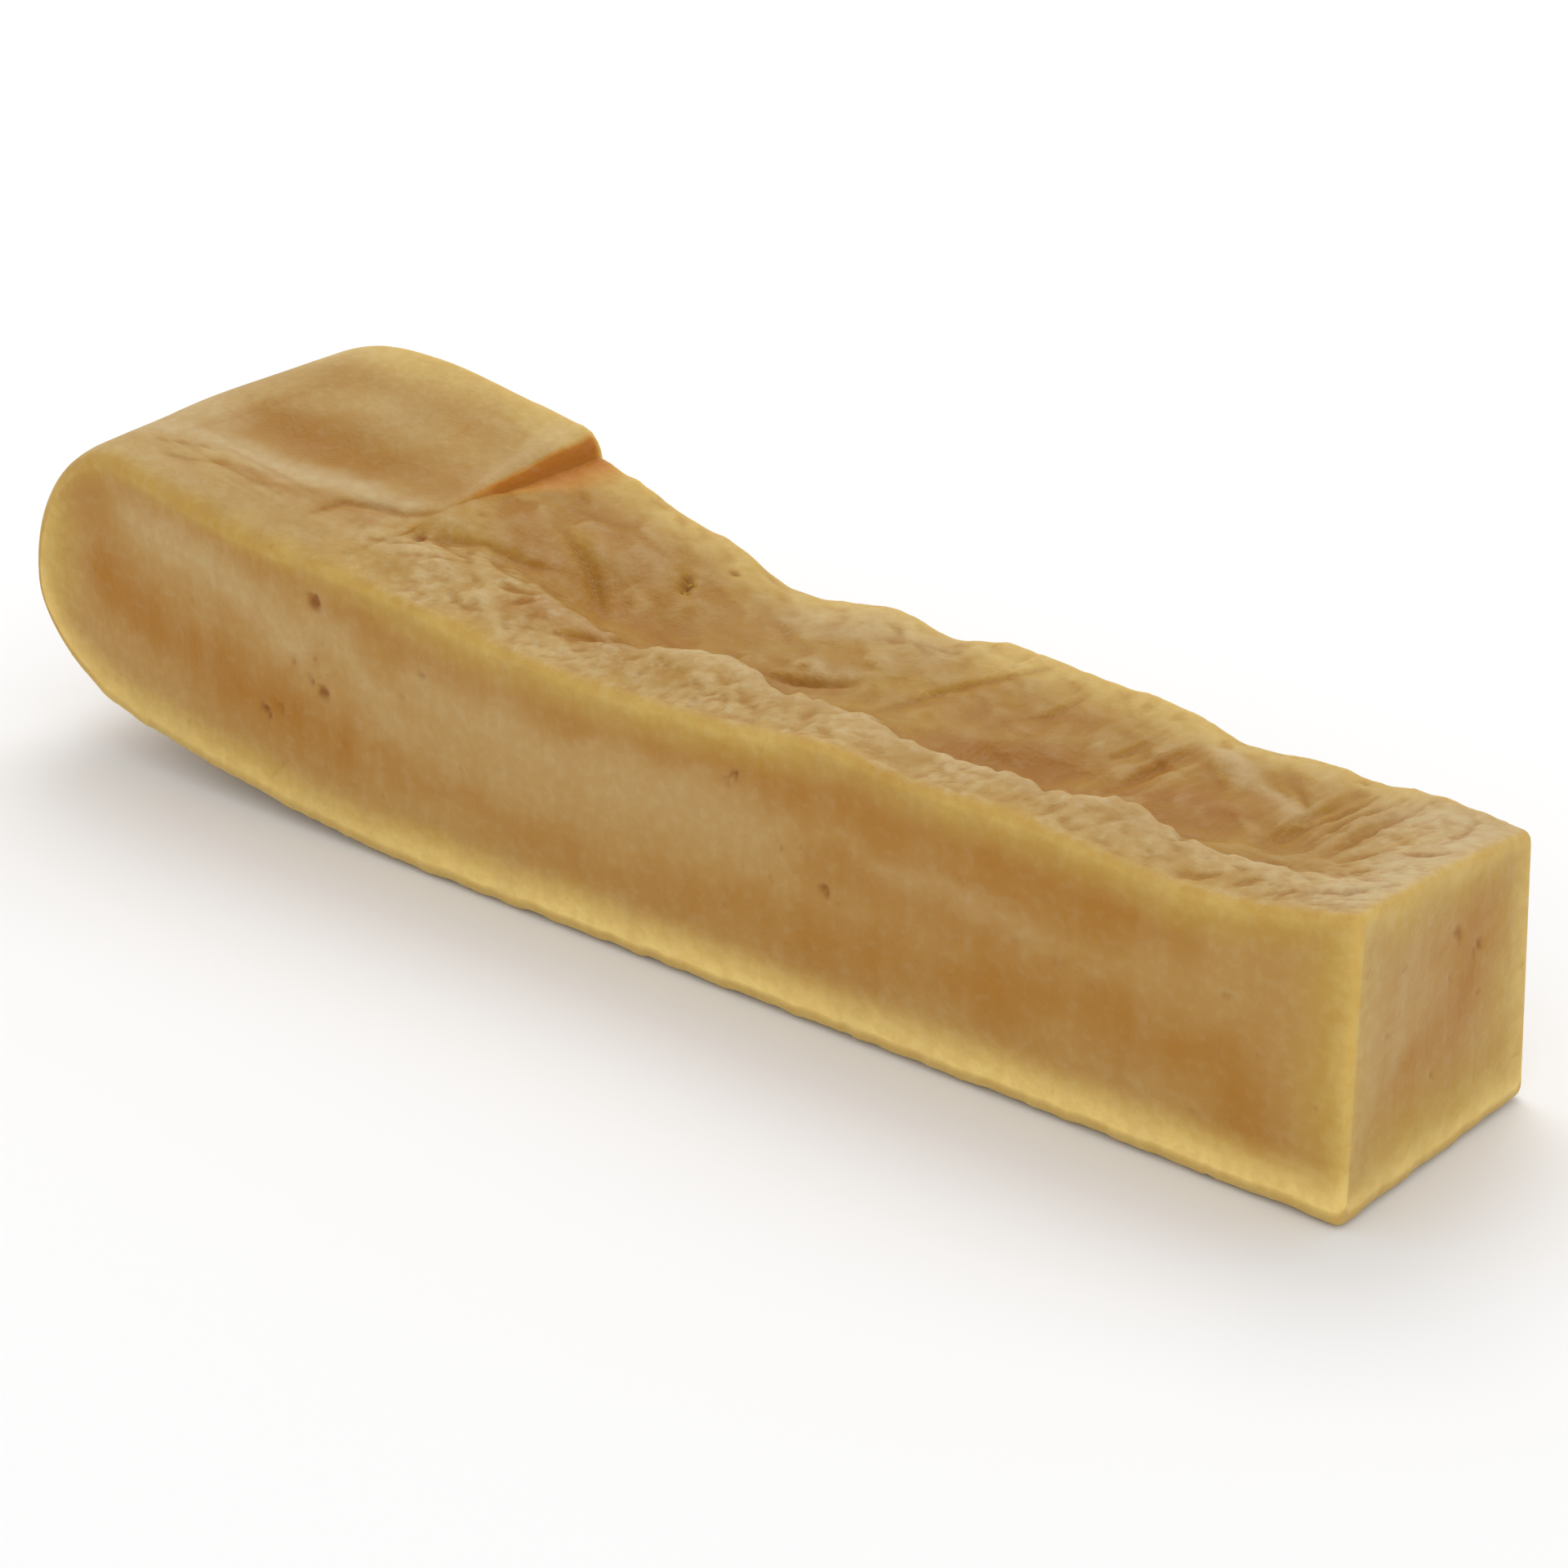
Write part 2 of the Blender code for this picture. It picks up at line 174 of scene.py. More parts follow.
RIM_EDGE = (
    (30, 6), (41, 7), (46, 8), (52, 8.2), (57, 7.6), (65, 6.4), (70, 5.2), (74, 6.4),
    (78, 8.2), (81, 8.6), (86, 6.4), (92, 6.2), (97, 6.4), (103, 5), (108, 5.2), (113, 5.6),
    (119, 4.2), (122, 5.6), (126, 5.8), (130, 5), (133, 4.8), (137, 5.4), (143, 5.6),
    (150, 5),
)
RIM_FALL = 3.2


def on_rim(along, across):
    """1 on the front rim and 0 in the hollow, by a smooth step over RIM_FALL beyond its edge, with
    uneven lobes."""
    lobes = 0.3 * crumple(along, 0.3 * across, 3.4, 17, 6)
    return smooth_step((rail_height(along, RIM_EDGE) + lobes + RIM_FALL - across) / RIM_FALL)


def hollow_height(along, across):
    """Height beyond the fold: the rim's rails and the hollow's, mixed by on_rim."""
    rim = net_height(along, across, RIM_RAILS)
    hollow = net_height(along, across, HOLLOW_RAILS)
    return hollow + (rim - hollow) * on_rim(along, across)


# %% The line of the fold
FOLD_START = (42.5, 8.0)
FOLD_END = (48.6, 28.0)
FOLD_OUT = 0.5
ROLL_FRONT, ROLL_BACK = 0.9, 2.2


def fold_line(across):
    """Place along the stick where the pillow ends: a straight line over the top."""
    share = (across - FOLD_START[1]) / (FOLD_END[1] - FOLD_START[1])
    return FOLD_START[0] + (FOLD_END[0] - FOLD_START[0]) * share


def roll_width(across):
    """Width of the roll over the fold: ROLL_FRONT, growing to ROLL_BACK by a smooth step from
    12 to 26 mm across."""
    return ROLL_FRONT + (ROLL_BACK - ROLL_FRONT) * smooth_step((across - 12) / 14)


def past_fold(along, across):
    """0 on the pillow and 1 beyond the fold. Between them the skin rolls over as a quarter circle:
    1 - sqrt(1 - t^2), with t the share of the roll that is passed."""
    t = np.clip((along - fold_line(across) - FOLD_OUT) / roll_width(across) + 1, 0.0, 1.0)
    return 1 - np.sqrt(1 - t * t)


# %% [markdown]
# ## Dents, bulges and creases
#
# Where a slab of curd is pressed in cloth its skin puckers. Each pucker is placed one by one: a
# bulge is a bell-shaped mound, a dent is one below zero, and a crease follows a bent line and fades
# out at both ends. Noise alone would give wrinkles of the right size, but never this stick's own.

# %% Mounds and furrows
def mound(along, across, place, half_sizes, turn):
    """Bell of height 1: exp(-(u^2 + v^2)), with u and v measured along its own turned axes in
    half sizes."""
    angle = np.radians(turn)
    x, y = along - place[0], across - place[1]
    u = (x * np.cos(angle) + y * np.sin(angle)) / half_sizes[0]
    v = (y * np.cos(angle) - x * np.sin(angle)) / half_sizes[1]
    return np.exp(-(u * u + v * v))


def near_line(along, across, line):
    """For every place: its distance to a bent line, the share of the line passed at the nearest
    point, and whether the place is on the left of the line's way."""
    ends = np.array(line, float)
    runs = np.diff(ends, axis=0)
    lengths = np.hypot(*runs.T)
    passed = np.concatenate([[0.0], np.cumsum(lengths)])
    nearest = np.full_like(along, np.inf)
    share, left = np.zeros_like(along), np.zeros(along.shape, bool)
    for start, run, length, before in zip(ends, runs, lengths, passed):
        x, y = along - start[0], across - start[1]
        t = np.clip((x * run[0] + y * run[1]) / length**2, 0.0, 1.0)
        gap = np.hypot(x - t * run[0], y - t * run[1])
        closer = gap < nearest
        share = np.where(closer, (before + t * length) / passed[-1], share)
        left = np.where(closer, run[0] * y - run[1] * x > 0, left)
        nearest = np.minimum(gap, nearest)
    return nearest, share, left


def furrow(along, across, line, half_width):
    """Furrow of depth 1 with a sharp bottom, steep on the left of its line and gentle on the
    right: exp(-(distance / width)^1.2), times 0.15 plus 0.85 of a half sine of the share of the
    line, so that it starts and ends shallow."""
    gap, share, left = near_line(along, across, line)
    width = half_width * np.where(left, 0.8, 1.7)
    return np.exp(-((gap / width) ** 1.2)) * (0.15 + 0.85 * np.sin(np.pi * share))


# %% The puckers of this stick, each as its place or line, its half sizes and its depth
MOUNDS = (
    ((27.5, 13), (11, 4.2), 6, -0.55),
    ((109, 12), (6.5, 4.5), 10, -0.9),
    ((126, 12.5), (5.5, 3.5), 20, -0.6),
    ((134, 14.5), (3.2, 3), 0, -0.8),
    ((73, 14), (5, 4), 0, -0.3),
    ((61, 13), (3, 2.5), -30, -0.5),
    ((63, 19), (5, 4.5), -35, 0.9),
    ((51.5, 15.5), (3, 3.5), -20, 0.4),
    ((80, 6.5), (4.5, 2.2), 0, 0.6),
    ((48, 6), (5, 1.8), 0, 0.4),
    ((92, 19), (5.5, 4.5), 30, 0.8),
    ((125.5, 4.5), (6, 2.4), -5, 0.5),
    ((125.5, 22), (7, 1.2), -26, 0.4),
)
CREASES = (
    (((33, 4.8), (34.5, 8.4), (37.5, 9.6), (41, 10), (44, 11.4)), 0.7, 0.75),
    (((43.8, 7.4), (46.5, 9.4), (50.2, 11), (54.1, 11.6), (57.8, 13.6)), 0.7, 0.6),
    (((53.6, 17.9), (55.4, 16.8), (57.2, 16.2), (58.8, 15.4), (61, 13.8), (64.6, 10.8)), 0.45, 0.9),
    (((61, 3.4), (65, 4.6), (69.5, 6.6), (72, 9.5)), 0.6, 0.4),
    (((81.4, 12.3), (84, 13.2), (86.8, 13.8), (90, 14.6)), 0.55, 1.15),
    (((94.6, 10.8), (96, 15.4), (98, 19.2), (99.8, 23), (102.6, 27)), 0.42, 0.4),
    (((117, 13.4), (118, 19), (119.8, 24.6)), 0.7, 0.6),
    (((140.4, 26), (139.4, 21.4), (138.9, 17.2), (138.8, 11.8)), 0.6, 0.75),
    (((136.4, 25), (134.4, 19), (133, 14.8)), 0.65, 0.7),
    (((142, 3), (145.7, 4.8), (148.4, 8)), 0.6, 0.45),
    (((144, 16), (148.2, 17.8)), 0.6, 0.55),
    (((13.2, 4.4), (16.5, 6), (20.2, 7.7)), 0.4, 0.15),
    (((15.1, 3.1), (18.5, 4.5), (22.3, 6.2)), 0.4, 0.18),
    (((39.7, 5.1), (43, 6.1), (46.3, 7.9)), 0.45, 0.3),
    (((44.8, 4.6), (48.6, 6.4), (51, 7.6)), 0.45, 0.3),
    (((55, 6.4), (57.4, 7.6), (59.4, 9.2)), 0.5, 0.35),
    (((57.3, 5), (58.9, 6.4), (60.7, 8.4)), 0.5, 0.35),
    (((65.5, 5), (68.6, 6.4), (70, 9.6)), 0.5, 0.4),
    (((67, 3), (69, 4.4)), 0.45, 0.25),
    (((66.3, 20.4), (67, 19.2), (67.5, 18)), 0.3, 0.9),
    (((134.6, 26), (133.9, 21.6), (133.2, 18)), 0.5, 0.45),
    (((138, 24.6), (136.2, 19.7), (135.4, 15.4)), 0.5, 0.55),
    (((143.2, 17), (142, 14.6), (140.3, 11.8)), 0.5, 0.4),
    (((136.9, 1.6), (137.9, 3.3), (139.4, 4.4)), 0.5, 0.35),
    (((131.6, 1.4), (134, 1.8), (135.6, 3.4)), 0.6, 0.45),
    (((113.3, 17.4), (114.7, 19.4), (115.1, 22.6)), 0.5, 0.3),
    (((142, 9.4), (144.5, 12.4)), 0.5, 0.35),
    (((86, 22.5), (90, 24.5), (94, 25)), 0.6, 0.3),
    (((104, 17), (106.5, 21), (107, 25.6)), 0.6, 0.35),
    (((127.4, 25), (131.5, 21.5), (134, 18.4)), 0.5, 0.4),
    (((73, 22.5), (77, 20.5), (80.5, 17.5)), 0.7, 0.35),
    (((49, 20), (55, 21), (60, 23.5)), 0.6, 0.25),
    (((124, 9.4), (127, 11), (131, 11.4)), 0.6, 0.35),
    (((145.6, 26.4), (146.4, 22.5), (146.2, 19)), 0.5, 0.3),
)
TOP_PITS = (
    ((44.4, 8.2), 0.5, 0.5), ((47.2, 13.5), 0.5, 0.2), ((68.5, 24), 0.5, 0.3), ((103, 9), 0.5, 0.3),
    ((66.5, 20), 0.35, 0.4), ((67, 19.3), 0.4, 0.6), ((67.4, 18.4), 0.35, 0.5),
)
print(len(MOUNDS), "mounds,", len(CREASES), "creases and", len(TOP_PITS), "pits")

# %% [markdown]
# ## Crumpled skin
#
# Between the puckers the skin is finely crumpled, most of all on the front rim, where it dried in
# the air and shrank into little lumps. Uneven waves alone would look like water. Lumps come from
# seeded points: a place's height is how much nearer its closest point is than the next one, which
# is nothing halfway between two, so sharp valleys run between round tops, as on a dried fruit.

# %% Pleats and lumps
def pleats(along, across, length, seed, ways):
    """Between 0 and 1: fine wrinkles side by side, 1 - |crumple|, which has sharp crests where the
    waves pass zero."""
    return 1 - np.clip(np.abs(crumple(along, across, length, seed, 4, ways)), 0, 1)


def lumps(along, across, size, seed):
    """Between 0 and 1: distance to the second nearest seeded point less that to the nearest, in
    lump sizes. Each square of a grid holds one point, and soft waves bend the grid first."""
    points = np.random.default_rng(seed).uniform(0.05, 0.95, (64, 64, 2))
    x = along / size + 0.45 * crumple(along, across, 2.7 * size, seed + 1, 4)
    y = across / size + 0.45 * crumple(along, across, 2.7 * size, seed + 2, 4)
    column, row = np.floor(x).astype(int), np.floor(y).astype(int)
    first, second = np.full_like(x, 9.0), np.full_like(x, 9.0)
    for right in (-1, 0, 1):
        for up in (-1, 0, 1):
            point = points[(column + right) % 64, (row + up) % 64]
            gap = np.hypot(column + right + point[..., 0] - x, row + up + point[..., 1] - y)
            second = np.minimum(second, np.maximum(first, gap))
            first = np.minimum(first, gap)
    return np.clip(second - first, 0.0, 1.0)


def dried_share(along, across):
    """How dried and crumpled a place is, from 0 to 1: the larger of on_rim beyond the nose and a
    smooth step over the last stretch before the sawn end, times uneven patches."""
    rim = on_rim(along, across) * smooth_step((along - 34) / 12)
    end = 0.6 * smooth_step((along - 136) / 8)
    patchy = 0.8 + 0.35 * crumple(along, across, 9.0, 21, 4)
    return np.clip(np.maximum(rim, end) * patchy, 0.0, 1.0)


# %% [markdown]
# ## The whole top
#
# Every part of the top is now one formula of (along, across). Adding the layers in one place keeps
# them easy to weigh against each other: the rails give centimetres, mounds and furrows give
# millimetres, and the lumps give tenths. Over the nose the front edge is worn, so it falls off
# in a wide soft round before the cut.

# %% Patches of fine pleats, as place, half sizes, turn, rise, and the two angles of their waves
PLEATED = (
    ((137, 19), (6.5, 8), 0, 0.22, (-25, 10)),
    ((143, 8), (5, 5), 0, 0.25, (50, 80)),
    ((24, 6.4), (11, 2.6), 6, 0.14, (75, 105)),
    ((55, 9.4), (8, 2.4), 12, 0.26, (60, 95)),
    ((92, 22), (9, 4), 0, 0.16, (35, 70)),
    ((118, 20), (6, 6), 0, 0.16, (-30, 5)),
    ((61, 22), (7, 4), -20, 0.12, (40, 75)),
)

# %% Height of the top
WORN_DEPTH, WORN_WIDTH = 0.7, 2.6
SWELL, BIG_LUMPS, SMALL_LUMPS, ALL_OVER_LUMPS = 0.13, 0.25, 0.13, 0.015
SKIN_BELOW = 0.06


def near_nose(along):
    """1 over the nose and 0 on the rest of the stick, by a smooth step from 25 to 55 mm."""
    return 1 - smooth_step((along - 25) / 30)


def top_height(along, across):
    """Height of the whole top: pillow and hollow mixed at the fold, plus the mounds, less the
    creases and pits, plus a swell, two sizes of lumps and patches of pleats. Over the nose the
    front edge is worn soft, by the square of the share of WORN_WIDTH that is left. All of it lies
    SKIN_BELOW under the rails, so that no lump stands out of the solid's box."""
    beyond = past_fold(along, across)
    pillow = net_height(along, across, PILLOW_RAILS)
    height = pillow * (1 - beyond) + hollow_height(along, across) * beyond
    for place, half_sizes, turn, rise in MOUNDS:
        height += rise * mound(along, across, place, half_sizes, turn)
    for line, half_width, depth in CREASES:
        height -= depth * furrow(along, across, line, half_width)
    for place, radius, depth in TOP_PITS:
        height -= depth * mound(along, across, place, (radius, radius), 0)
    height -= WORN_DEPTH * near_nose(along) * np.clip(1 - across / WORN_WIDTH, 0, 1) ** 2
    rough = smooth_step((along - 34) / 22) * smooth_step((LENGTH - along) / 12)
    rough *= smooth_step((across - 0.5) / 4)
    height += SWELL * rough * crumple(along, across, 5.0, 7, 9)
    dried = dried_share(along, across) * smooth_step((across - 0.1) / 1.3)
    height += BIG_LUMPS * dried * (lumps(along / 1.3, across, 2.8, 51) - 0.4)
    small = ALL_OVER_LUMPS + SMALL_LUMPS * dried
    height += small * (lumps(along / 1.2, across, 1.35, 61) - 0.4)
    for place, half_sizes, turn, rise, ways in PLEATED:
        patch = rise * mound(along, across, place, half_sizes, turn)
        height += patch * (pleats(along, across, 1.9, 91, np.radians(ways)) - 0.6)
    return height - SKIN_BELOW


probe = np.linspace(30.0, 149.0, 200)
crest = top_height(probe, np.full_like(probe, 5.0))
print(f"rim crest between {crest.min():.1f} and {crest.max():.1f} mm high")

# %% [markdown]
# ## A grid over the whole stick
#
# The stick could be a box with a sculpted top, but a grid that runs round it leaves no seam at the
# edges. Think of a sock pulled over it: at each place along, a ring goes up the front side, over the
# top, down the back and under. At the nose every ring flattens onto a quarter ellipse until top and
# underside meet in one line. At the sawn end the ring is drawn in a little, which rounds the edge,
# and a flat patch of the same grid closes it.

# %% Places across, with round edges
EDGE_RADIUS = 0.8
TIP_LAG = 2.0
REACH_FRONT, REACH_BACK = 12.0, 23.0
CORNER_STEPS, WIDE_STEPS, HIGH_STEPS = 5, 72, 40

corner = EDGE_RADIUS * (1 - np.cos(np.linspace(0, np.pi / 2, CORNER_STEPS + 1)))
middle = np.linspace(EDGE_RADIUS, WIDTH - EDGE_RADIUS, WIDE_STEPS + 1)
across_row = np.concatenate([corner[:-1], middle, (WIDTH - corner[:-1])[::-1]])

to_side = EDGE_RADIUS - np.clip(np.minimum(across_row, WIDTH - across_row), 0, EDGE_RADIUS)
edge_drop = EDGE_RADIUS - np.sqrt(EDGE_RADIUS**2 - to_side**2)
nose_tip = TIP_LAG * (across_row / WIDTH) ** 2 + edge_drop
nose_reach = REACH_FRONT + (REACH_BACK - REACH_FRONT) * across_row / WIDTH
print(len(across_row), "places across")

# %% Places along, packed at the nose, the fold and the end
END_RADIUS = 0.7
NOSE_STEPS, PILLOW_STEPS, HOLLOW_STEPS, END_STEPS = 32, 58, 262, 4
ROLL_SHARES = np.array([-1.0, -0.5, -0.234, -0.094, -0.022, 0.0, 0.25, 0.6])


def stretch(start, end, steps):
    """Even steps from start to end, without the start itself."""
    share = np.linspace(0, 1, steps + 1)[1:, None]
    return start + (end - start) * share


nose = nose_tip + nose_reach * (1 - np.cos(np.linspace(0, np.pi / 2, NOSE_STEPS + 1)))[:, None]
fold = fold_line(across_row) + FOLD_OUT + ROLL_SHARES[:, None] * roll_width(across_row)
before_fold = stretch(nose[-1], fold[0], PILLOW_STEPS)
end_start = np.full_like(across_row, LENGTH - END_RADIUS)
after_fold = stretch(fold[-1], end_start, HOLLOW_STEPS)
end_turn = np.linspace(0, np.pi / 2, END_STEPS + 1)[1:, None]
end_round = LENGTH - END_RADIUS * (1 - np.sin(end_turn)) + 0 * across_row
along = np.vstack([nose, before_fold, fold[1:], after_fold, end_round])
across = np.broadcast_to(across_row, along.shape)
drawn_in = np.zeros(len(along))
drawn_in[-END_STEPS:] = END_RADIUS * (1 - np.cos(end_turn[:, 0]))
print(along.shape[0], "rings")

# %% Top and underside of every ring
TIP_HEIGHT = 16.2
CURL_HEIGHT, CURL_LENGTH = 7.1, 50.0
RIPPLE = 0.12


def base_height(along):
    """Height of the underside: flat, and curling up to the nose by CURL_HEIGHT times the share of
    CURL_LENGTH that is left, to the power 1.6."""
    left = np.clip((CURL_LENGTH - along) / CURL_LENGTH, 0.0, 1.0)
    return CURL_HEIGHT * left**1.6


turn = np.clip(1 - (along - nose_tip) / nose_reach, 0.0, 1.0)
arc = np.sqrt(1 - turn**2)
skin = top_height(along, across)
underside = base_height(along) + RIPPLE * np.clip(1 + crumple(along, across, 6.0, 31, 6), 0, 2)
top = TIP_HEIGHT + (skin - edge_drop - TIP_HEIGHT) * arc
base = TIP_HEIGHT + (underside + edge_drop - TIP_HEIGHT) * arc
print(f"top from {top.min():.1f} to {top.max():.1f} mm")

# %% [markdown]
# ## Sawn faces
#
# The blade leaves faint, slightly slanted ridges, and the cut opens small holes in the curd. Both
# are pressed into the flat faces as depth, so they catch light from any side. A bump texture could
# carry the ridges, but the holes need real depth. The holes on the front and on the end are listed
# one by one, and the back gets a scatter of the same kind from a seed.

# %% Saw ridges and holes, each hole as its two places, its radius and its depth
FRONT_HOLES = (
    (38.5, 23.5, 0.75, 0.9), (31.4, 10.9, 0.7, 0.7), (33.2, 11.6, 0.6, 0.5), (39.2, 14.7, 0.7, 0.7),
    (37.7, 15.7, 0.5, 0.5), (35.4, 16.9, 0.55, 0.4), (38.4, 17.9, 0.6, 0.35), (24.7, 21.8, 0.6, 0.3),
    (26.6, 25.8, 0.5, 0.25), (10.4, 22.8, 0.6, 0.2), (51.9, 20, 0.55, 0.4), (49.5, 17.2, 0.5, 0.25),
    (46.2, 13.5, 0.55, 0.3), (87.6, 20.2, 0.5, 0.5), (88.6, 21, 0.5, 0.6), (93.5, 15.8, 0.5, 0.4),
    (95.6, 16.6, 0.5, 0.4), (96.6, 15.7, 0.5, 0.35), (98.1, 13.3, 0.65, 0.6), (122, 14.4, 0.5, 0.5),
    (117.9, 15.1, 0.6, 0.25), (132.2, 16.9, 0.4, 0.3), (138.3, 16.9, 0.5, 0.35),
    (125.6, 13.3, 0.6, 0.25), (135.6, 5.6, 0.5, 0.3), (109.7, 7.9, 0.5, 0.25), (86.2, 5.2, 0.5, 0.25),
    (60.5, 8.5, 0.5, 0.25), (72, 12.5, 0.45, 0.2), (105.5, 18.5, 0.45, 0.25),
)
END_HOLES = (
    (16, 19.8, 0.55, 0.5), (16.4, 18.8, 0.5, 0.4), (19.8, 17.2, 0.6, 0.5), (18.8, 16.6, 0.5, 0.4),
    (13.4, 19, 0.45, 0.3), (15.1, 15.8, 0.5, 0.4), (19.8, 12.8, 0.5, 0.35), (5.5, 14.7, 0.5, 0.3),
    (12.9, 8.3, 0.5, 0.35), (15.3, 1.6, 0.4, 0.3), (8.2, 11.4, 0.45, 0.25),
)
draw = np.random.default_rng(5)
BACK_HOLES = tuple(
    zip(draw.uniform(14, 140, 26), draw.uniform(5, 21, 26), draw.uniform(0.4, 0.75, 26),
        draw.uniform(0.2, 0.7, 26))
)


def holes(first, second, places):
    """Depth of a set of holes: the deepest of their bells at each place, with the place bent by
    small waves, so that no hole is round."""
    depth = np.zeros_like(first)
    right, up = 0.16 * crumple(first, second, 1.8, 71, 4), 0.16 * crumple(first, second, 1.8, 72, 4)
    for x, y, radius, deep in places:
        bell = mound(first + right, second + up, (x, y), (1.2 * radius, 0.9 * radius), -40)
        depth = np.maximum(depth, deep * bell)
    return depth


def saw_ridges(first, second, slant, seed):
    """About 0 to 1: one half plus an eighth of the sum of sine waves of the slanted place, 0.9 to
    4 mm long, each fading in and out along the face."""
    draw = np.random.default_rng(seed)
    total = np.zeros_like(first)
    for length in (0.9, 1.3, 1.9, 2.7, 4.0):
        way = first + slant * second + 0.4 * np.sin(second / 3.0 + length)
        strength = 0.5 + 0.5 * np.sin(first / (7.0 * length) + draw.uniform(0, 6.3))
        total += strength * np.sin(2 * np.pi * way / length + draw.uniform(0, 6.3))
    return 0.5 + total / 8.0


# %% [markdown]
# ## Putting the rings together
#
# Each ring is written as five stretches in a row: the front's bottom corner, the front side, the
# top, the back side and the underside. The same order is used for every value that the material
# needs, such as how far a point is from the nearest edge, so a value always lands on its own vertex.

# %% Front and back sides
EDGE_FADE = 1.2
SIDE_RIDGE, END_RIDGE = 0.08, 0.10

share = np.linspace(0, 1, HIGH_STEPS + 1)[1:-1]
top_offset = 1.4 + 1.3 * near_nose(along[:, :1])


def side(column):
    """Along, height, distance to the outline and depth of glow for the points of one sawn side:
    even steps from the underside to the top, and the smallest of the distances up, down, to the
    nose and to the end. For the glow each distance is scaled or shifted first, so that the top
    edge glows least."""
    near, far = base[:, [column]], top[:, [column]]
    height = near + (far - near) * share
    place = np.repeat(along[:, [column]], len(share), axis=1)
    to_nose, to_end = place - nose_tip[column], LENGTH - place
    gap = np.minimum.reduce([far - height, height - near, to_nose, to_end])
    # depth that the painted edge glow follows
    glow = np.minimum.reduce(
        [far - height + top_offset, height - near, 0.75 * to_nose, 0.7 * to_end + 0.6]
    )
    return place, height, np.maximum(gap, 0.0), np.maximum(glow, 0.0)


front_along, front_height, front_gap, front_glow = side(0)
back_along, back_height, back_gap, back_glow = side(-1)
front_hole = 0.65 * holes(front_along, front_height, FRONT_HOLES)
back_hole = 0.75 * holes(back_along, back_height, BACK_HOLES)
front_ridge = saw_ridges(front_along, front_height, 0.28, 3)
back_ridge = saw_ridges(back_along, back_height, -0.2, 4)
front_depth = smooth_step(front_gap / EDGE_FADE) * (SIDE_RIDGE * front_ridge + front_hole)
back_depth = smooth_step(back_gap / EDGE_FADE) * (SIDE_RIDGE * back_ridge + back_hole)
print(f"deepest hole {front_hole.max():.2f} mm, ridges up to {SIDE_RIDGE * front_ridge.max():.2f} mm")

# %% Rings as one table of points
MID_HEIGHT = 12.5


def around(under, front, over, back):
    """One value round every ring: first underside point, front side, top, back side from the
    top down, and the underside back to the front."""
    return np.concatenate([under[:, :1], front, over, back[:, ::-1], under[:, :0:-1]], axis=1)


ring_along = around(along, front_along, along, back_along)
ring_across = around(across, front_depth, across, WIDTH - back_depth)
ring_height = around(base, front_height, top, back_height)
squeeze = 1 - drawn_in[:, None] / (WIDTH / 2)
ring_across = WIDTH / 2 + (ring_across - WIDTH / 2) * squeeze
ring_height = MID_HEIGHT + (ring_height - MID_HEIGHT) * (1 - drawn_in[:, None] / MID_HEIGHT)
rings, slots = ring_along.shape
print(rings, "rings of", slots, "points")

# %% The sawn end
top_slots = 1 + len(share) + np.arange(len(across_row))
base_slots = np.concatenate([[0], np.arange(slots - 1, slots - len(across_row), -1)])
front_slots = 1 + np.arange(len(share))
back_slots = top_slots[-1] + front_slots
rise = np.linspace(0, 1, HIGH_STEPS + 1)[:, None]
end_low, end_high = ring_height[-1, base_slots], ring_height[-1, top_slots]
end_across = ring_across[-1, top_slots] + 0 * rise
end_height = end_low + (end_high - end_low) * rise
end_gap = np.minimum.reduce(
    [end_across, WIDTH - end_across, end_height - end_low, end_high - end_height]
)
end_hole = 0.65 * holes(end_across, end_height, END_HOLES)
end_ridge = saw_ridges(end_across, end_height, 0.12, 6)
end_depth = smooth_step((end_gap - 0.7) / 1.5) * (END_RIDGE * end_ridge + end_hole)
end_along = LENGTH - end_depth
print("end patch of", end_height.shape, "points")

# %% Numbers of the points, and the faces between them
ring_index = np.arange(rings * slots).reshape(rings, slots)
ring_index[0, base_slots] = ring_index[0, top_slots]
ring_index[0, front_slots] = ring_index[0, top_slots[0]]
ring_index[0, back_slots] = ring_index[0, top_slots[-1]]
end_index = rings * slots + np.arange(end_height.size).reshape(end_height.shape)
end_index[0], end_index[-1] = ring_index[-1, base_slots], ring_index[-1, top_slots]
end_index[1:-1, 0] = ring_index[-1, front_slots]
end_index[1:-1, -1] = ring_index[-1, back_slots[::-1]]


def quads(index):
    """Four corners of every cell of a grid of point numbers."""
    return np.stack([index[:-1, :-1], index[:-1, 1:], index[1:, 1:], index[1:, :-1]], -1).reshape(-1, 4)


cells = np.vstack([quads(np.hstack([ring_index, ring_index[:, :1]])), quads(end_index)[:, ::-1]])
triangles = np.vstack([cells[:, [0, 1, 2]], cells[:, [0, 2, 3]]])
flat = (triangles == np.roll(triangles, 1, axis=1)).any(axis=1)
triangles = triangles[~flat]
print(len(triangles), "triangles,", int(flat.sum()), "flat ones dropped at the nose")

# %% [markdown]
# ## What the material has to know
#
# Much of the colour on this cheese is painted light and shade that follows the body: the yellow
# glow of light passing through the edges and up through the low rims is painted in; folds, dishes
# and holes get a painted deep brown shade; and crests get a painted highlight. The dry rind is pale.
# Each of these is worked out here at every vertex and kept as a named attribute: a number from 0 to
# about 1, or for the glow a depth in millimetres. The material reads them later, so the look is tied
# to the shape and holds from every side.

# %% Hollows and ridges of the top
def smoothed(table, passes):
    """The table after so many rounds of taking the mean of a value and its four neighbours."""
    for _ in range(passes):
        wide = np.pad(table, 1, mode="reflect", reflect_type="odd")
        table = (wide[:-2, 1:-1] + wide[2:, 1:-1] + wide[1:-1, :-2] + wide[1:-1, 2:] + table) / 5
    return table


CREASE_FULL, DISH_FULL, RIDGE_FULL = 0.16, 1.1, 0.22

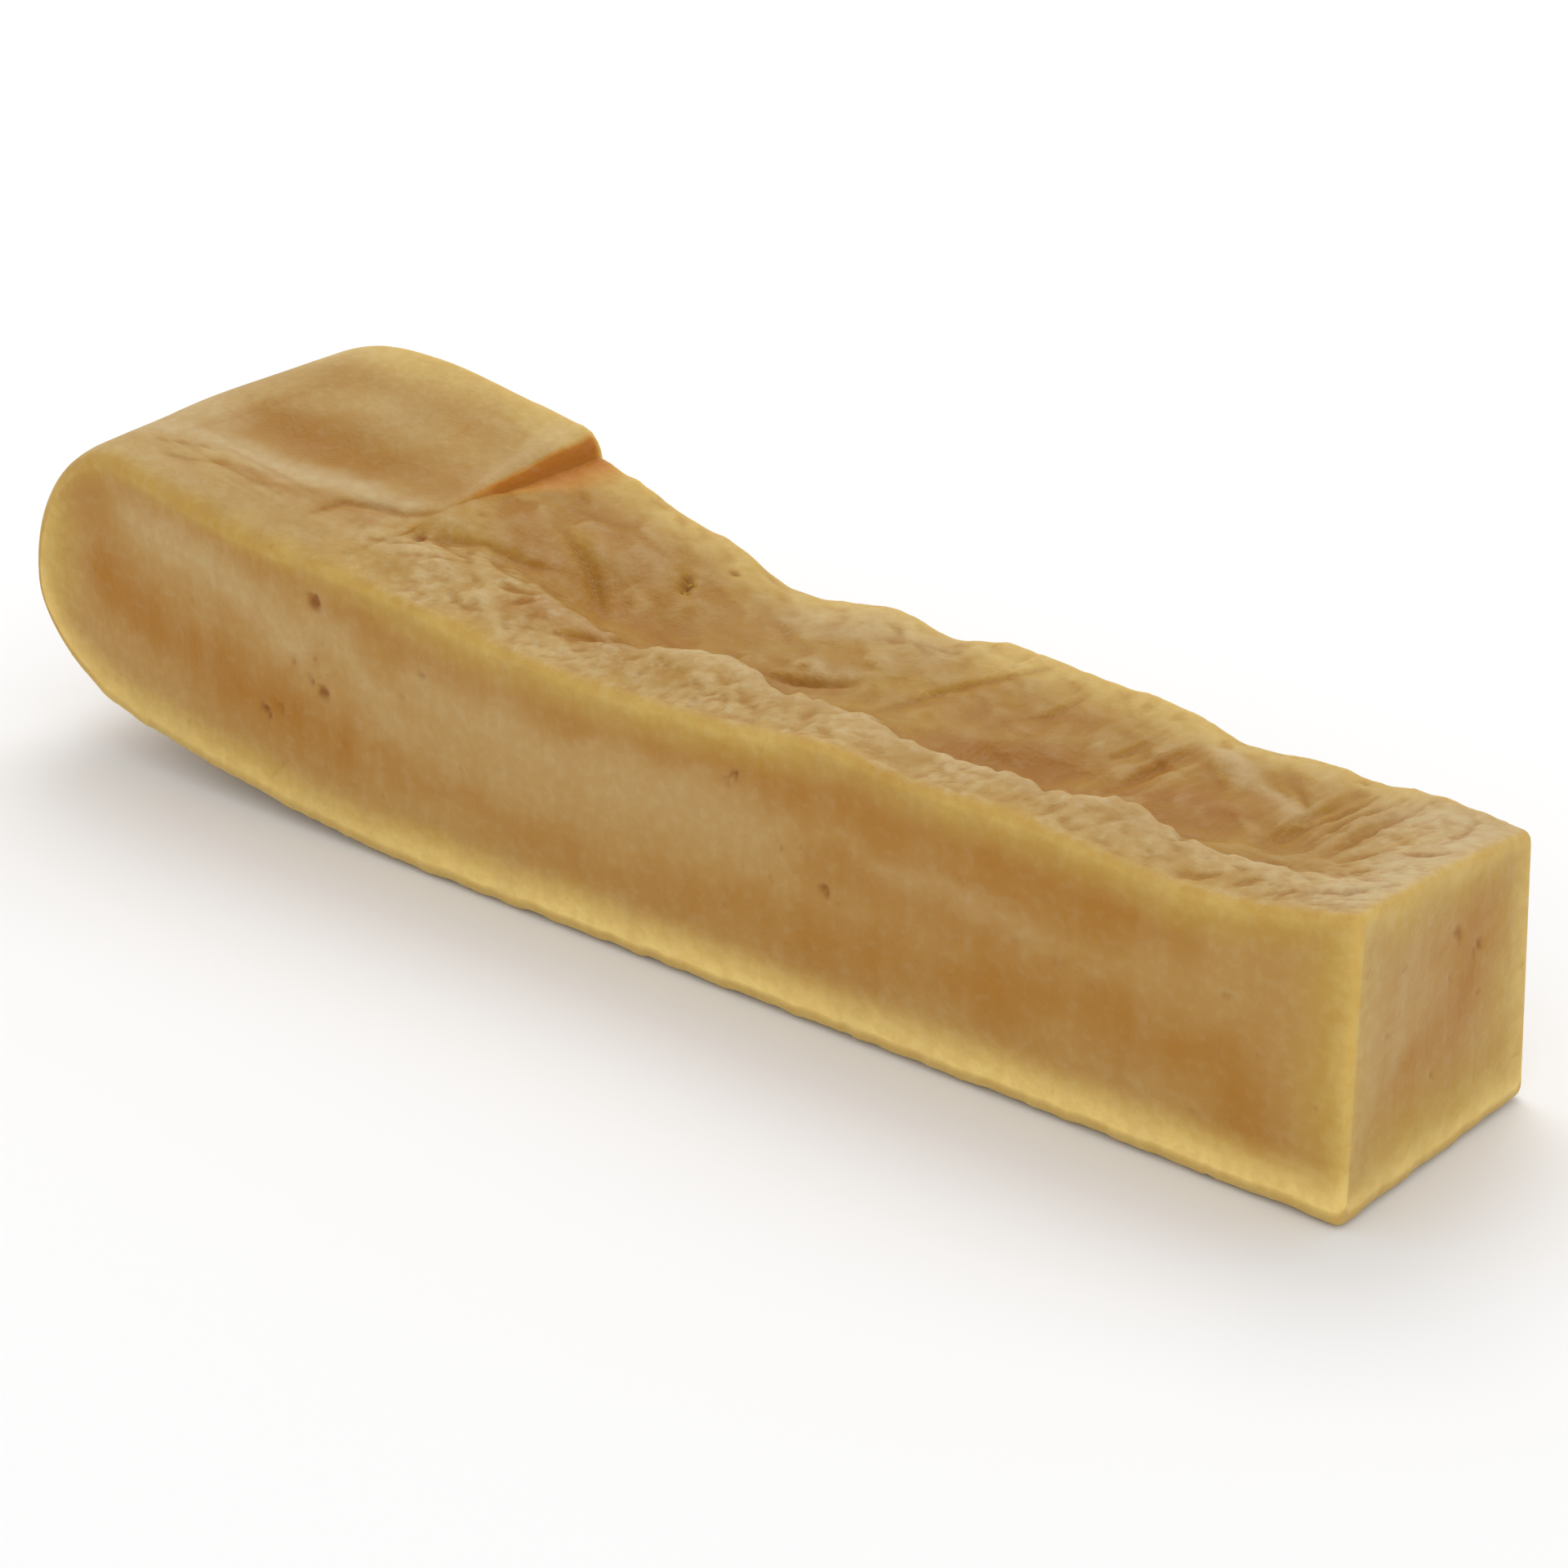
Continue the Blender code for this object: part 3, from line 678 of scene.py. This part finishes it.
near_side = smooth_step(np.minimum(across, WIDTH - across) / 1.5)
# Painted shade: how far the skin lies below its smoothed self, near and wide, darkens creases and
# dishes in the colour.
hollow_near = np.clip((smoothed(skin, 12) - skin) / CREASE_FULL, 0, 1) * near_side
hollow_wide = np.clip((smoothed(skin, 220) - skin) / DISH_FULL, 0, 1) * near_side
# Painted highlight: how far the skin stands above its smoothed self makes crests paler.
raised = np.clip((skin - smoothed(skin, 24)) / RIDGE_FULL, 0, 1) * near_side
# The riser, the steep face at the fold, gets painted light: dark orange shade on its face, fading to an
# amber glow where it thins.
step = past_fold(along, across)
drop_at_fold = net_height(along, across, PILLOW_RAILS) - hollow_height(along, across)
beyond_fold = along - fold_line(across)
wedge = 0.6 + 4.2 * smooth_step((across - 16.5) / 8)
fading = (1 - np.clip((beyond_fold - 0.4) / wedge, 0, 1)) ** 0.9
riser = np.where(step < 1.0, smooth_step((step - 0.12) / 0.3), fading)
riser = riser * np.clip(drop_at_fold / 1.2, 0, 1)
print(f"hollows cover {100 * (hollow_near > 0.5).mean():.0f}% of the top")

# %% Deep and pale marks, face by face, each as a line, its half width and its strength
FRONT_DEEP = (
    (((7.8, 28.4), (8.8, 24), (11.2, 18.8)), 3.8, 0.55),
    (((11.2, 18.8), (17, 15.8), (24.6, 13.8), (33, 11.6), (41, 10.2)), 4.2, 1),
    (((14, 28.2), (20, 27.6), (30, 26.4), (40.5, 24.2)), 1.8, 0.5),
    (((40.5, 23.9), (50.6, 22.4), (58, 21.2)), 2.1, 0.6),
    (((56, 21.8), (70.2, 20.8), (79.6, 21.6), (90, 22.2)), 1.9, 0.6),
    (((86, 22), (97.5, 21.8), (106.1, 21.8), (114.4, 21.4), (122.5, 20.8), (133, 20.8)), 3, 0.85),
    (((97, 8.5), (106.3, 9.3), (122.9, 11.4), (130.9, 11), (138.6, 10.8), (141.5, 4.5)), 3.8, 0.78),
    (((42, 10.6), (52, 10), (62, 8), (76, 7.4), (92, 8.6)), 2.8, 0.5),
    (((98, 15.4), (107, 15), (117, 14)), 3, 0.75),
    (((103, 20), (119.4, 19.2), (127, 19.4)), 2.6, 0.75),
)
FRONT_PALE = (
    (((15, 26.4), (22.1, 24.1), (28.5, 22.2), (36.4, 18.8)), 2.3, 1),
    (((39, 22.4), (43.6, 18.6), (48.5, 13.5)), 1.9, 0.7),
    (((53, 19), (64, 17.2), (76, 16), (90, 17.4)), 3.2, 0.6),
    (((104, 17), (118.6, 16.4)), 2.2, 0.5),
    (((52, 14), (70, 12.4)), 2.2, 0.35),
)
# On the top the deep marks are partly the skin's own colour and partly painted shade: in the dishes, by
# the creases and along the pillow's front slope, which faces away from the light.
TOP_DEEP_AND_SHADE = (
    (((21, 13.4), (27, 13.8), (33, 14.4)), 3.6, 0.7),
    (((32, 14.4), (38, 15.4), (43, 15)), 3, 0.55),
    (((22, 22), (30, 24), (38, 23)), 2.8, 0.35),
    (((22, 5.6), (30, 6.6), (38, 7.6)), 1.3, 0.5),
    (((60.5, 15), (65, 11.6), (72, 12)), 2.8, 0.7),
    (((103, 10.6), (107, 13.4), (112, 14.6)), 3.2, 1),
    (((112, 11.4), (118, 9.2), (124, 12.4), (127.5, 13.2)), 2.5, 0.8),
    (((117.5, 15.5), (118.5, 19), (119.2, 22)), 1.6, 0.8),
    (((128, 17), (133, 15.4), (137.5, 17.5)), 1.8, 0.2),
    (((105, 19), (110, 22.4)), 2.4, 0.5),
    (((47.6, 16.4), (51, 15.2), (56, 13.4)), 2.6, 0.7),
    (((54, 21), (59.4, 19.4), (66, 16.4)), 3.2, 0.55),
    (((118, 14), (123, 16.4), (127.5, 16.4)), 3, 1),
    (((101, 16.4), (106, 18.6)), 2.6, 0.55),
    (((83, 12.2), (89, 13.6)), 1.5, 0.7),
    (((70, 20), (76, 16)), 2.4, 0.4),
    (((97, 15), (100, 20), (102, 25)), 1.2, 0.5),
    (((59, 6.2), (64, 6.8), (71, 6.8)), 1.9, 0.7),
)
# On the top the pale marks are partly painted light: a painted sheen on the pillow's left, painted
# highlights on the pillow's crest and on lips of creases, and along the sawn end's top edge.
TOP_PALE_AND_HIGHLIGHT = (
    (((3, 20), (5, 13), (9, 10.6), (16, 10.6)), 2.6, 0.42),
    (((12, 24), (24, 25.4), (36, 25.6)), 2.4, 0.12),
    (((7, 6), (14, 7.4), (23, 8.8), (32, 9.6), (40, 10.6)), 1.3, 0.9),
    (((6, 1.6), (20, 1.8), (36, 2)), 1.3, 0.25),
    (((78, 23), (84, 23.6), (91, 24)), 3, 0.65),
    (((84.5, 15.4), (89.5, 16)), 1, 0.35),
    (((119.6, 24.6), (125.4, 21.6), (132.2, 18.4)), 0.9, 0.6),
    (((146.5, 4), (147.5, 14), (147.5, 25)), 3, 1),
    (((141, 24.4), (147, 25.4)), 3, 1),
)
END_DEEP = (
    (((19.5, 18), (17, 13.6), (13, 10), (8.6, 7.4)), 4.2, 0.78),
    (((14, 19.6), (18, 20)), 2.2, 0.3),
)
END_PALE = (
    (((2.6, 25), (2.2, 14), (2, 4)), 1.5, 1),
    (((10.5, 24), (8.4, 18), (7, 12)), 1.5, 0.35),
    (((24, 24), (25.5, 14), (25, 6)), 1.4, 0.5),
)


def line_marks(first, second, marks):
    """Strength of a set of marks: at each place the strongest of exp(-(distance to the line over
    the half width)^2), with the place shifted by soft waves, so that no mark has an even rim."""
    right = 0.6 * crumple(first, second, 8.0, 41, 5)
    up = 0.6 * crumple(first, second, 8.0, 42, 5)
    strength = np.zeros_like(first)
    for line, half_width, amount in marks:
        gap = near_line(first + right, second + up, line)[0]
        strength = np.maximum(strength, amount * np.exp(-((gap / half_width) ** 2)))
    return strength


front_deep = line_marks(front_along, front_height, FRONT_DEEP)
front_pale = line_marks(front_along, front_height, FRONT_PALE)
back_deep = np.maximum(
    line_marks(back_along, back_height, FRONT_DEEP[:1]),
    0.85 * line_marks(LENGTH + 4 - back_along, back_height, FRONT_DEEP[3:]),
)
back_pale = line_marks(LENGTH - 6 - back_along, back_height, FRONT_PALE[2:])
end_deep = line_marks(end_across, end_height, END_DEEP)
end_pale = line_marks(end_across, end_height, END_PALE)
top_deep_and_shade, top_pale_and_highlight = line_marks(along, across, TOP_DEEP_AND_SHADE), line_marks(along, across, TOP_PALE_AND_HIGHLIGHT)
print("stains on", len(FRONT_DEEP) + len(FRONT_PALE), "lines of the front")

# %% Where the top is dry and pale
pillow_dry = 0.8 * (1 - smooth_step(step / 0.3)) * (0.4 + 0.6 * smooth_step(across / 5))
back_dry = 0.6 * smooth_step((across - 21.5) / 5) * smooth_step((beyond_fold - 3) / 4)
end_dry = smooth_step((along - 137) / 8)
rind = np.maximum.reduce([pillow_dry, back_dry, end_dry, dried_share(along, across)])
rind = rind * (0.85 + 0.25 * crumple(along, across, 12.0, 81, 4)) * (1 - 0.6 * hollow_near)
rind = np.clip(rind * (1 - 0.7 * top_deep_and_shade) * (1 - riser), 0, 1)
crumbly = np.maximum(dried_share(along, across), 0.8 * end_dry) * (1 - riser)
print(f"{100 * (rind > 0.4).mean():.0f}% of the top is dry")

# %% Values round every vertex
# Painted light on the low rims: a yellow glow for floor light shining up through the bottom few
# millimetres of each sawn face, strongest on the front, and over all the underside.
LOW_REACH = 5.0

none, no_side, no_end = np.zeros_like(along), np.zeros_like(front_along), np.zeros_like(end_gap)
skin_gap = np.minimum.reduce([across, WIDTH - across, LENGTH - along])
low_front = 1 - smooth_step((front_height - base[:, :1]) / LOW_REACH)
low_front = low_front * (0.55 + 0.5 * smooth_step((along[:, :1] - 20) / 60))
low_back = 0.5 - 0.5 * smooth_step((back_height - base[:, -1:]) / LOW_REACH)
low_end = 1 - smooth_step(end_height / 4.0)
corner_sawn = 1 - smooth_step(skin_gap / 0.8)
# Depths that the painted edge glow follows on the top and on the sawn end: painted light for light
# shining through the thin body.
skin_glow = np.minimum.reduce([
    across * (1 - 0.55 * near_nose(along)) + top_offset - 0.5 * near_nose(along),
    0.6 * (WIDTH - across) + 0.4,
    LENGTH - along + 0.2,
])
end_glow = np.minimum.reduce([
    0.8 * end_across + 0.8,
    0.5 * (WIDTH - end_across),
    0.5 * (end_height - end_low),
    0.8 * (end_high - end_height) + 0.3,
])


def values(under, front, over, back, end):
    """One value for every vertex: the rings' table, then the end patch's. Round the nose the
    underside's value runs into the top's by a smooth step, so that no line shows there."""
    under = over + (under - over) * smooth_step((along - nose_tip) / 16)
    return np.concatenate([around(under, front, over, back).ravel(), end.ravel()])


top_hole = holes(along, across, [(*place, radius, depth) for place, radius, depth in TOP_PITS])
# Painted light and shade ride on these values: edge_mm and low lead painted glow, cavity, riser and
# hole painted shade, ridge a painted highlight; deep and pale are partly painted on the top.
vertex_values = {
    "edge_mm": values(skin_gap, front_glow, skin_glow, back_glow, end_glow),
    "sawn": values(none, no_side + 1, corner_sawn, no_side + 1, no_end + 1),
    "low": values(none + 0.6, low_front, none, low_back, low_end),
    "cavity_shade": values(none, no_side, np.maximum(hollow_near, 0.7 * hollow_wide), no_side, no_end),
    "ridge_highlight": values(none, no_side, raised, no_side, no_end),
    "riser": values(none, no_side, riser, no_side, no_end),
    "rind": values(none + 0.35, no_side, rind, no_side, no_end),
    "crumbly": values(none, no_side, crumbly, no_side, no_end),
    "deep": values(none + 0.2, front_deep, top_deep_and_shade, back_deep, end_deep),
    "pale": values(none + 0.2, front_pale, top_pale_and_highlight, back_pale, end_pale),
    "hole": np.clip(values(none, front_hole, top_hole, back_hole, end_hole) / 0.5, 0, 1),
}
points = np.vstack([
    np.stack([ring_along, ring_across, ring_height], -1).reshape(-1, 3),
    np.stack([end_along, end_across, end_height], -1).reshape(-1, 3),
])
print(len(points), "points,", len(vertex_values), "values on each")

# %% [markdown]
# ## From numbers to a Blender mesh
#
# The sawn end leans back towards its top far corner, and the origin is under the middle of the
# stick. Points that no face uses are left out. The sign of the volume says whether the faces point
# outwards: if it is negative, every triangle is turned round.

# %% The cheese mesh
END_SKEW = 1.1
END_HEIGHT = 25.0


def lean_and_place(points):
    """Points in metres: the last 12 mm lean back by END_SKEW times the shares across and up."""
    near_end = smooth_step((points[:, 0] - (LENGTH - 12)) / 12)
    lean = END_SKEW * near_end * (points[:, 1] / WIDTH) * (points[:, 2] / END_HEIGHT)
    moved = points - np.stack([lean, 0 * lean, 0 * lean], -1)
    return (moved - [LENGTH / 2, WIDTH / 2, 0.0]) * MM


def placed(name, data):
    """A new object that holds this data, linked to the scene."""
    thing = bpy.data.objects.new(name, data)
    bpy.context.scene.collection.objects.link(thing)
    return thing


used, triangles = np.unique(triangles, return_inverse=True)
triangles = triangles.reshape(-1, 3)
corners = lean_and_place(points)[used]
a, b, c = (corners[triangles[:, k]] for k in range(3))
volume = np.einsum("ij,ij->i", a, np.cross(b, c)).sum() / 6
if volume < 0:
    triangles = triangles[:, ::-1]

mesh = bpy.data.meshes.new("cheese")
mesh.from_pydata(corners.tolist(), [], triangles.tolist())
mesh.shade_smooth()
for name, table in vertex_values.items():
    attribute = mesh.attributes.new(name, "FLOAT", "POINT")
    attribute.data.foreach_set("value", table[used].astype(np.float32))
mesh.validate()
cheese = placed("cheese", mesh)
print(f"{len(mesh.polygons)} faces, {abs(volume) * 1e6:.1f} cubic centimetres")

# %% [markdown]
# ## The look of hard cheese
#
# Dried cheese is dense and waxy. Light enters it, scatters a few millimetres and comes out yellow
# where the body is thin. That glow is painted into the base colour, which runs from a tan core to an
# amber edge, and subsurface scattering softens it. A single colour would look like plastic. Here
# every change of colour has a cause: painted glow at the edges, painted shade in folds and holes, a
# painted highlight on crests, stains and dry rind.

# %% Helpers for nodes
material = bpy.data.materials.new("dried_cheese_skin")
material.use_nodes = True
tree = material.node_tree
shader = tree.nodes["Principled BSDF"]
on_object = tree.nodes.new("ShaderNodeTexCoord").outputs["Object"]


def colour(red, green, blue):
    """A colour given on the 0 to 255 scale of a screen, as the linear value it stands for:
    ((v + 0.055) / 1.055)^2.4 of the share v of 255, or v / 12.92 where it is very dark."""
    screen = np.array([red, green, blue]) / 255
    linear = np.where(screen <= 0.04045, screen / 12.92, ((screen + 0.055) / 1.055) ** 2.4)
    return (*[float(v) for v in linear], 1.0)


def value_of(name):
    """Socket of a vertex value."""
    node = tree.nodes.new("ShaderNodeAttribute")
    node.attribute_name = name
    return node.outputs["Fac"]


def fill_in(node, *pairs):
    """Set inputs of a node, each given as its name and its value."""
    for name, value in pairs:
        node.inputs[name].default_value = value


def between(socket, start, end, low=0.0, high=1.0):
    """Socket that runs smoothly from low to high as the input goes from start to end."""
    node = tree.nodes.new("ShaderNodeMapRange")
    node.interpolation_type = "SMOOTHSTEP"
    tree.links.new(socket, node.inputs["Value"])
    fill_in(node, ("From Min", start), ("From Max", end), ("To Min", low), ("To Max", high))
    return node.outputs["Result"]


def maths(kind, first, second):
    """Socket of one kind of sum on two sockets or numbers."""
    node = tree.nodes.new("ShaderNodeMath")
    node.operation = kind
    for k, item in enumerate((first, second)):
        if isinstance(item, (int, float)):
            node.inputs[k].default_value = item
        else:
            tree.links.new(item, node.inputs[k])
    return node.outputs[0]


def times(first, second):
    """Socket of a product."""
    return maths("MULTIPLY", first, second)


# %% Colours in layers
def mixed(share, first, second):
    """Socket of two colours mixed by a share: first times (1 - share) plus second times share."""
    node = tree.nodes.new("ShaderNodeMix")
    node.data_type = "RGBA"
    for name, item in (("Factor_Float", share), ("A_Color", first), ("B_Color", second)):
        target = next(s for s in node.inputs if s.identifier == name)
        if isinstance(item, (int, float, tuple)):
            target.default_value = item
        else:
            tree.links.new(item, target)
    return next(s for s in node.outputs if s.identifier == "Result_Color")


def layered(base, *layers):
    """Socket of a base colour under layers, each a share and a colour, mixed in one by one."""
    for share, tint in layers:
        base = mixed(share, base, tint)
    return base


# %% Clouds
def noise(scale, detail=3.0, stretch=(1, 1, 1), turn=(0, 0, 0)):
    """Socket of a cloud pattern, with so many blobs to the metre, stretched and turned."""
    node = tree.nodes.new("ShaderNodeTexNoise")
    fill_in(node, ("Scale", scale), ("Detail", detail))
    mapping = tree.nodes.new("ShaderNodeMapping")
    fill_in(mapping, ("Scale", stretch), ("Rotation", turn))
    tree.links.new(on_object, mapping.inputs["Vector"])
    tree.links.new(mapping.outputs[0], node.inputs["Vector"])
    return node.outputs["Fac"]


# %% Colours of the sawn body
# The glow colour, and gold where it rings the edges, are painted light: yellow for light shining
# through the thin body near every edge. The other colours here are the cheese's own.
CORE = colour(180, 141, 78)
GOLD = colour(186, 150, 66)
PAINTED_GLOW = colour(211, 181, 102)
DEEP = colour(165, 111, 30)
BEIGE = colour(189, 158, 104)
# The low glow colour is painted light: floor light shining up through the low rims.
PAINTED_LOW_GLOW = colour(248, 218, 136)

sawn = value_of("sawn")
edge = value_of("edge_mm")
clouds = noise(60.0, 2.0)
mottle = noise(240.0, 3.0)
grain = noise(850.0, 2.0)
uneven = maths("ADD", times(mottle, 1.6), times(clouds, 3.2))
wavy_edge = maths("ADD", edge, maths("SUBTRACT", uneven, 2.4))
streaks = noise(260.0, 2.0, stretch=(1.0, 1.0, 0.06), turn=(0, 0.28, 0))
body = layered(
    CORE,
    (between(clouds, 0.52, 0.72, 0.0, 0.22), DEEP),
    (times(value_of("pale"), 0.85), BEIGE),
    (times(value_of("deep"), between(mottle, 0.3, 0.62, 0.8, 1.0)), DEEP),
    # painted light: gold, then yellow glow, towards every edge
    (between(wavy_edge, 1.2, 5.0, 0.8, 0.0), GOLD),
    (between(wavy_edge, 0.1, 2.6, 0.75, 0.0), PAINTED_GLOW),
    # painted light: floor light glowing through the low rims
    (times(value_of("low"), 0.8), PAINTED_LOW_GLOW),
    (times(value_of("pale"), 0.35), BEIGE),
    (times(between(streaks, 0.42, 0.68, 0.0, 0.15), sawn), BEIGE),
    (times(between(streaks, 0.28, 0.44, 0.10, 0.0), sawn), DEEP),
)
print("colours of the sawn body mixed")

# %% Colours of the skin, and of holes
SKIN = colour(161, 121, 44)
RIND = colour(187, 158, 105)
PALE_SKIN = colour(195, 174, 134)
# The shade colour is painted shade in creases, dishes and deep marks of the top, and also the cheese's
# own dark specks.
SHADE_AND_SPECKS = colour(150, 96, 12)
# The riser's colour is painted shade on its steep face, with an orange glow; amber is painted light
# shining through where the riser thins.
RISER_SHADE = colour(172, 104, 22)
AMBER_GLOW = colour(190, 130, 46)
# The hole colour is painted shade inside the holes.
HOLE_SHADE = colour(138, 78, 14)

crumbly = value_of("crumbly")
clear = maths("SUBTRACT", 1.0, times(crumbly, 0.8))
riser_shade_and_glow = mixed(between(value_of("riser"), 0.45, 0.95), AMBER_GLOW, RISER_SHADE)
skin_colour = layered(
    SKIN,
    (between(noise(150.0, 2.0), 0.45, 0.68, 0.0, 0.35), GOLD),
    (times(value_of("rind"), between(mottle, 0.3, 0.6, 0.85, 1.0)), RIND),
    # deep marks on the top: partly the skin's own colour, partly painted shade
    (times(value_of("deep"), 0.88), SHADE_AND_SPECKS),
    # painted light: yellow glow through the thin edges of the skin, less on the crumbly rim
    (times(between(wavy_edge, 0.3, 4.2, 0.68, 0.0), clear), PAINTED_GLOW),
    # pale marks on the top: partly the skin's own colour, partly painted highlight and sheen
    (times(value_of("pale"), 0.6), PALE_SKIN),
    # painted highlight on crests
    (times(value_of("ridge_highlight"), 0.28), PALE_SKIN),
    # painted shade in creases and dishes
    (times(value_of("cavity_shade"), 0.6), SHADE_AND_SPECKS),
    (times(crumbly, between(grain, 0.52, 0.68, 0.0, 0.25)), PALE_SKIN),
    (times(crumbly, between(grain, 0.32, 0.46, 0.15, 0.0)), SHADE_AND_SPECKS),
    # painted shade and glow on the riser
    (between(value_of("riser"), 0.0, 0.8), riser_shade_and_glow),
)
body = layered(
    mixed(sawn, skin_colour, body),
    (between(grain, 0.36, 0.66, 0.14, 0.0), DEEP),
    (between(grain, 0.5, 0.72, 0.0, 0.08), PALE_SKIN),
    (between(noise(520.0, 2.0), 0.68, 0.78, 0.0, 0.25), SHADE_AND_SPECKS),
    # painted shade in the holes
    (between(value_of("hole"), 0.12, 0.8, 0.0, 0.8), HOLE_SHADE),
)
tree.links.new(body, shader.inputs["Base Color"])
print(len(tree.nodes), "nodes so far")

# %% [markdown]
# ## Sheen and fine relief
#
# Sawn cheese is smooth as soap and keeps a low, broad shine, while the dry rind is dull. The finest
# grain, a millimetre across and less, is too fine for the grid, so it is the one thing left to a
# bump.

# %% Roughness, bump and scattering
roughness = between(mottle, 0.3, 0.7, 0.44, 0.56)
roughness = maths("ADD", roughness, times(value_of("rind"), 0.16))
tree.links.new(roughness, shader.inputs["Roughness"])
fine = maths("ADD", times(noise(1700.0, 2.0), 0.6), times(grain, 0.6))
fine = maths("ADD", fine, times(times(noise(1100.0, 3.0), crumbly), 1.6))
cuts = times(noise(1500.0, 2.0, stretch=(1.0, 1.0, 0.05), turn=(0, 0.28, 0)), sawn)
bump = tree.nodes.new("ShaderNodeBump")
fill_in(bump, ("Strength", 0.5), ("Distance", 0.0003))
tree.links.new(maths("ADD", fine, times(cuts, 0.5)), bump.inputs["Height"])
tree.links.new(bump.outputs["Normal"], shader.inputs["Normal"])
fill_in(
    shader, ("Subsurface Weight", 0.35), ("Subsurface Radius", (1.0, 0.7, 0.25)),
    ("Subsurface Scale", 0.0024), ("IOR", 1.45), ("Specular IOR Level", 0.25),
)
mesh.materials.append(material)
print("material ready with", len(tree.nodes), "nodes")

# %% Tell the frame what the piece is
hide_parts("cheese_stick")
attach(cheese, "root")

# %% [markdown]
# ## Floor, light and camera
#
# The photograph shows the stick on plain white, lit from all round with a little more from above
# and behind. A large pale floor and a bright even sky give that, and two wide soft lamps add the
# slight fall from top to front. Colours go to the screen by the plain Standard transform, because
# a filmic one greys the yellows. The camera stands where the lines of the sawn end and of the two
# long edges say that it stood, with a long lens.

# %% Floor
floor_mesh = bpy.data.meshes.new("floor")
floor_mesh.from_pydata(
    [(-3, -3, -0.0002), (3, -3, -0.0002), (3, 3, -0.0002), (-3, 3, -0.0002)], [], [(0, 1, 2, 3)]
)
floor = placed("floor", floor_mesh)
paper = bpy.data.materials.new("floor_paper")
paper.use_nodes = True
white = paper.node_tree.nodes["Principled BSDF"]
fill_in(white, ("Base Color", (0.9, 0.9, 0.9, 1)), ("Roughness", 0.9))
floor_mesh.materials.append(paper)

# %% Sky and lamps
world = bpy.data.worlds.new("studio")
bpy.context.scene.world = world
world.use_nodes = True
sky = world.node_tree.nodes["Background"]
fill_in(sky, ("Color", (1, 1, 1, 1)), ("Strength", 0.8))
bpy.context.scene.view_settings.view_transform = "Standard"


def lamp(name, place, aim, size, watts):
    """A square soft lamp at a place, turned to its aim."""
    light = bpy.data.lights.new(name, "AREA")
    light.size = size
    light.energy = watts
    thing = placed(name, light)
    thing.location = place
    thing.rotation_euler = (Vector(aim) - Vector(place)).to_track_quat("-Z", "Y").to_euler()


lamp("key", (-0.25, 0.35, 0.75), (0, 0, 0.01), 0.6, 2.8)
lamp("fill", (0.55, -0.62, 0.24), (0, 0, 0.01), 0.7, 1.3)
print("lit")

# %% Camera
TURN, PITCH = np.radians(39.41), np.radians(25.03)
camera = placed("camera", bpy.data.cameras.new("camera"))
camera.location = (0.21742, -0.25551, 0.16780)
ahead = Vector((-np.sin(TURN) * np.cos(PITCH), np.cos(TURN) * np.cos(PITCH), -np.sin(PITCH)))
camera.rotation_euler = ahead.to_track_quat("-Z", "Y").to_euler()
camera.data.lens = 95.0
camera.data.clip_start = 0.01
bpy.context.scene.camera = camera
print("camera looks", [round(v, 3) for v in ahead])

bpy.context.view_layer.update()
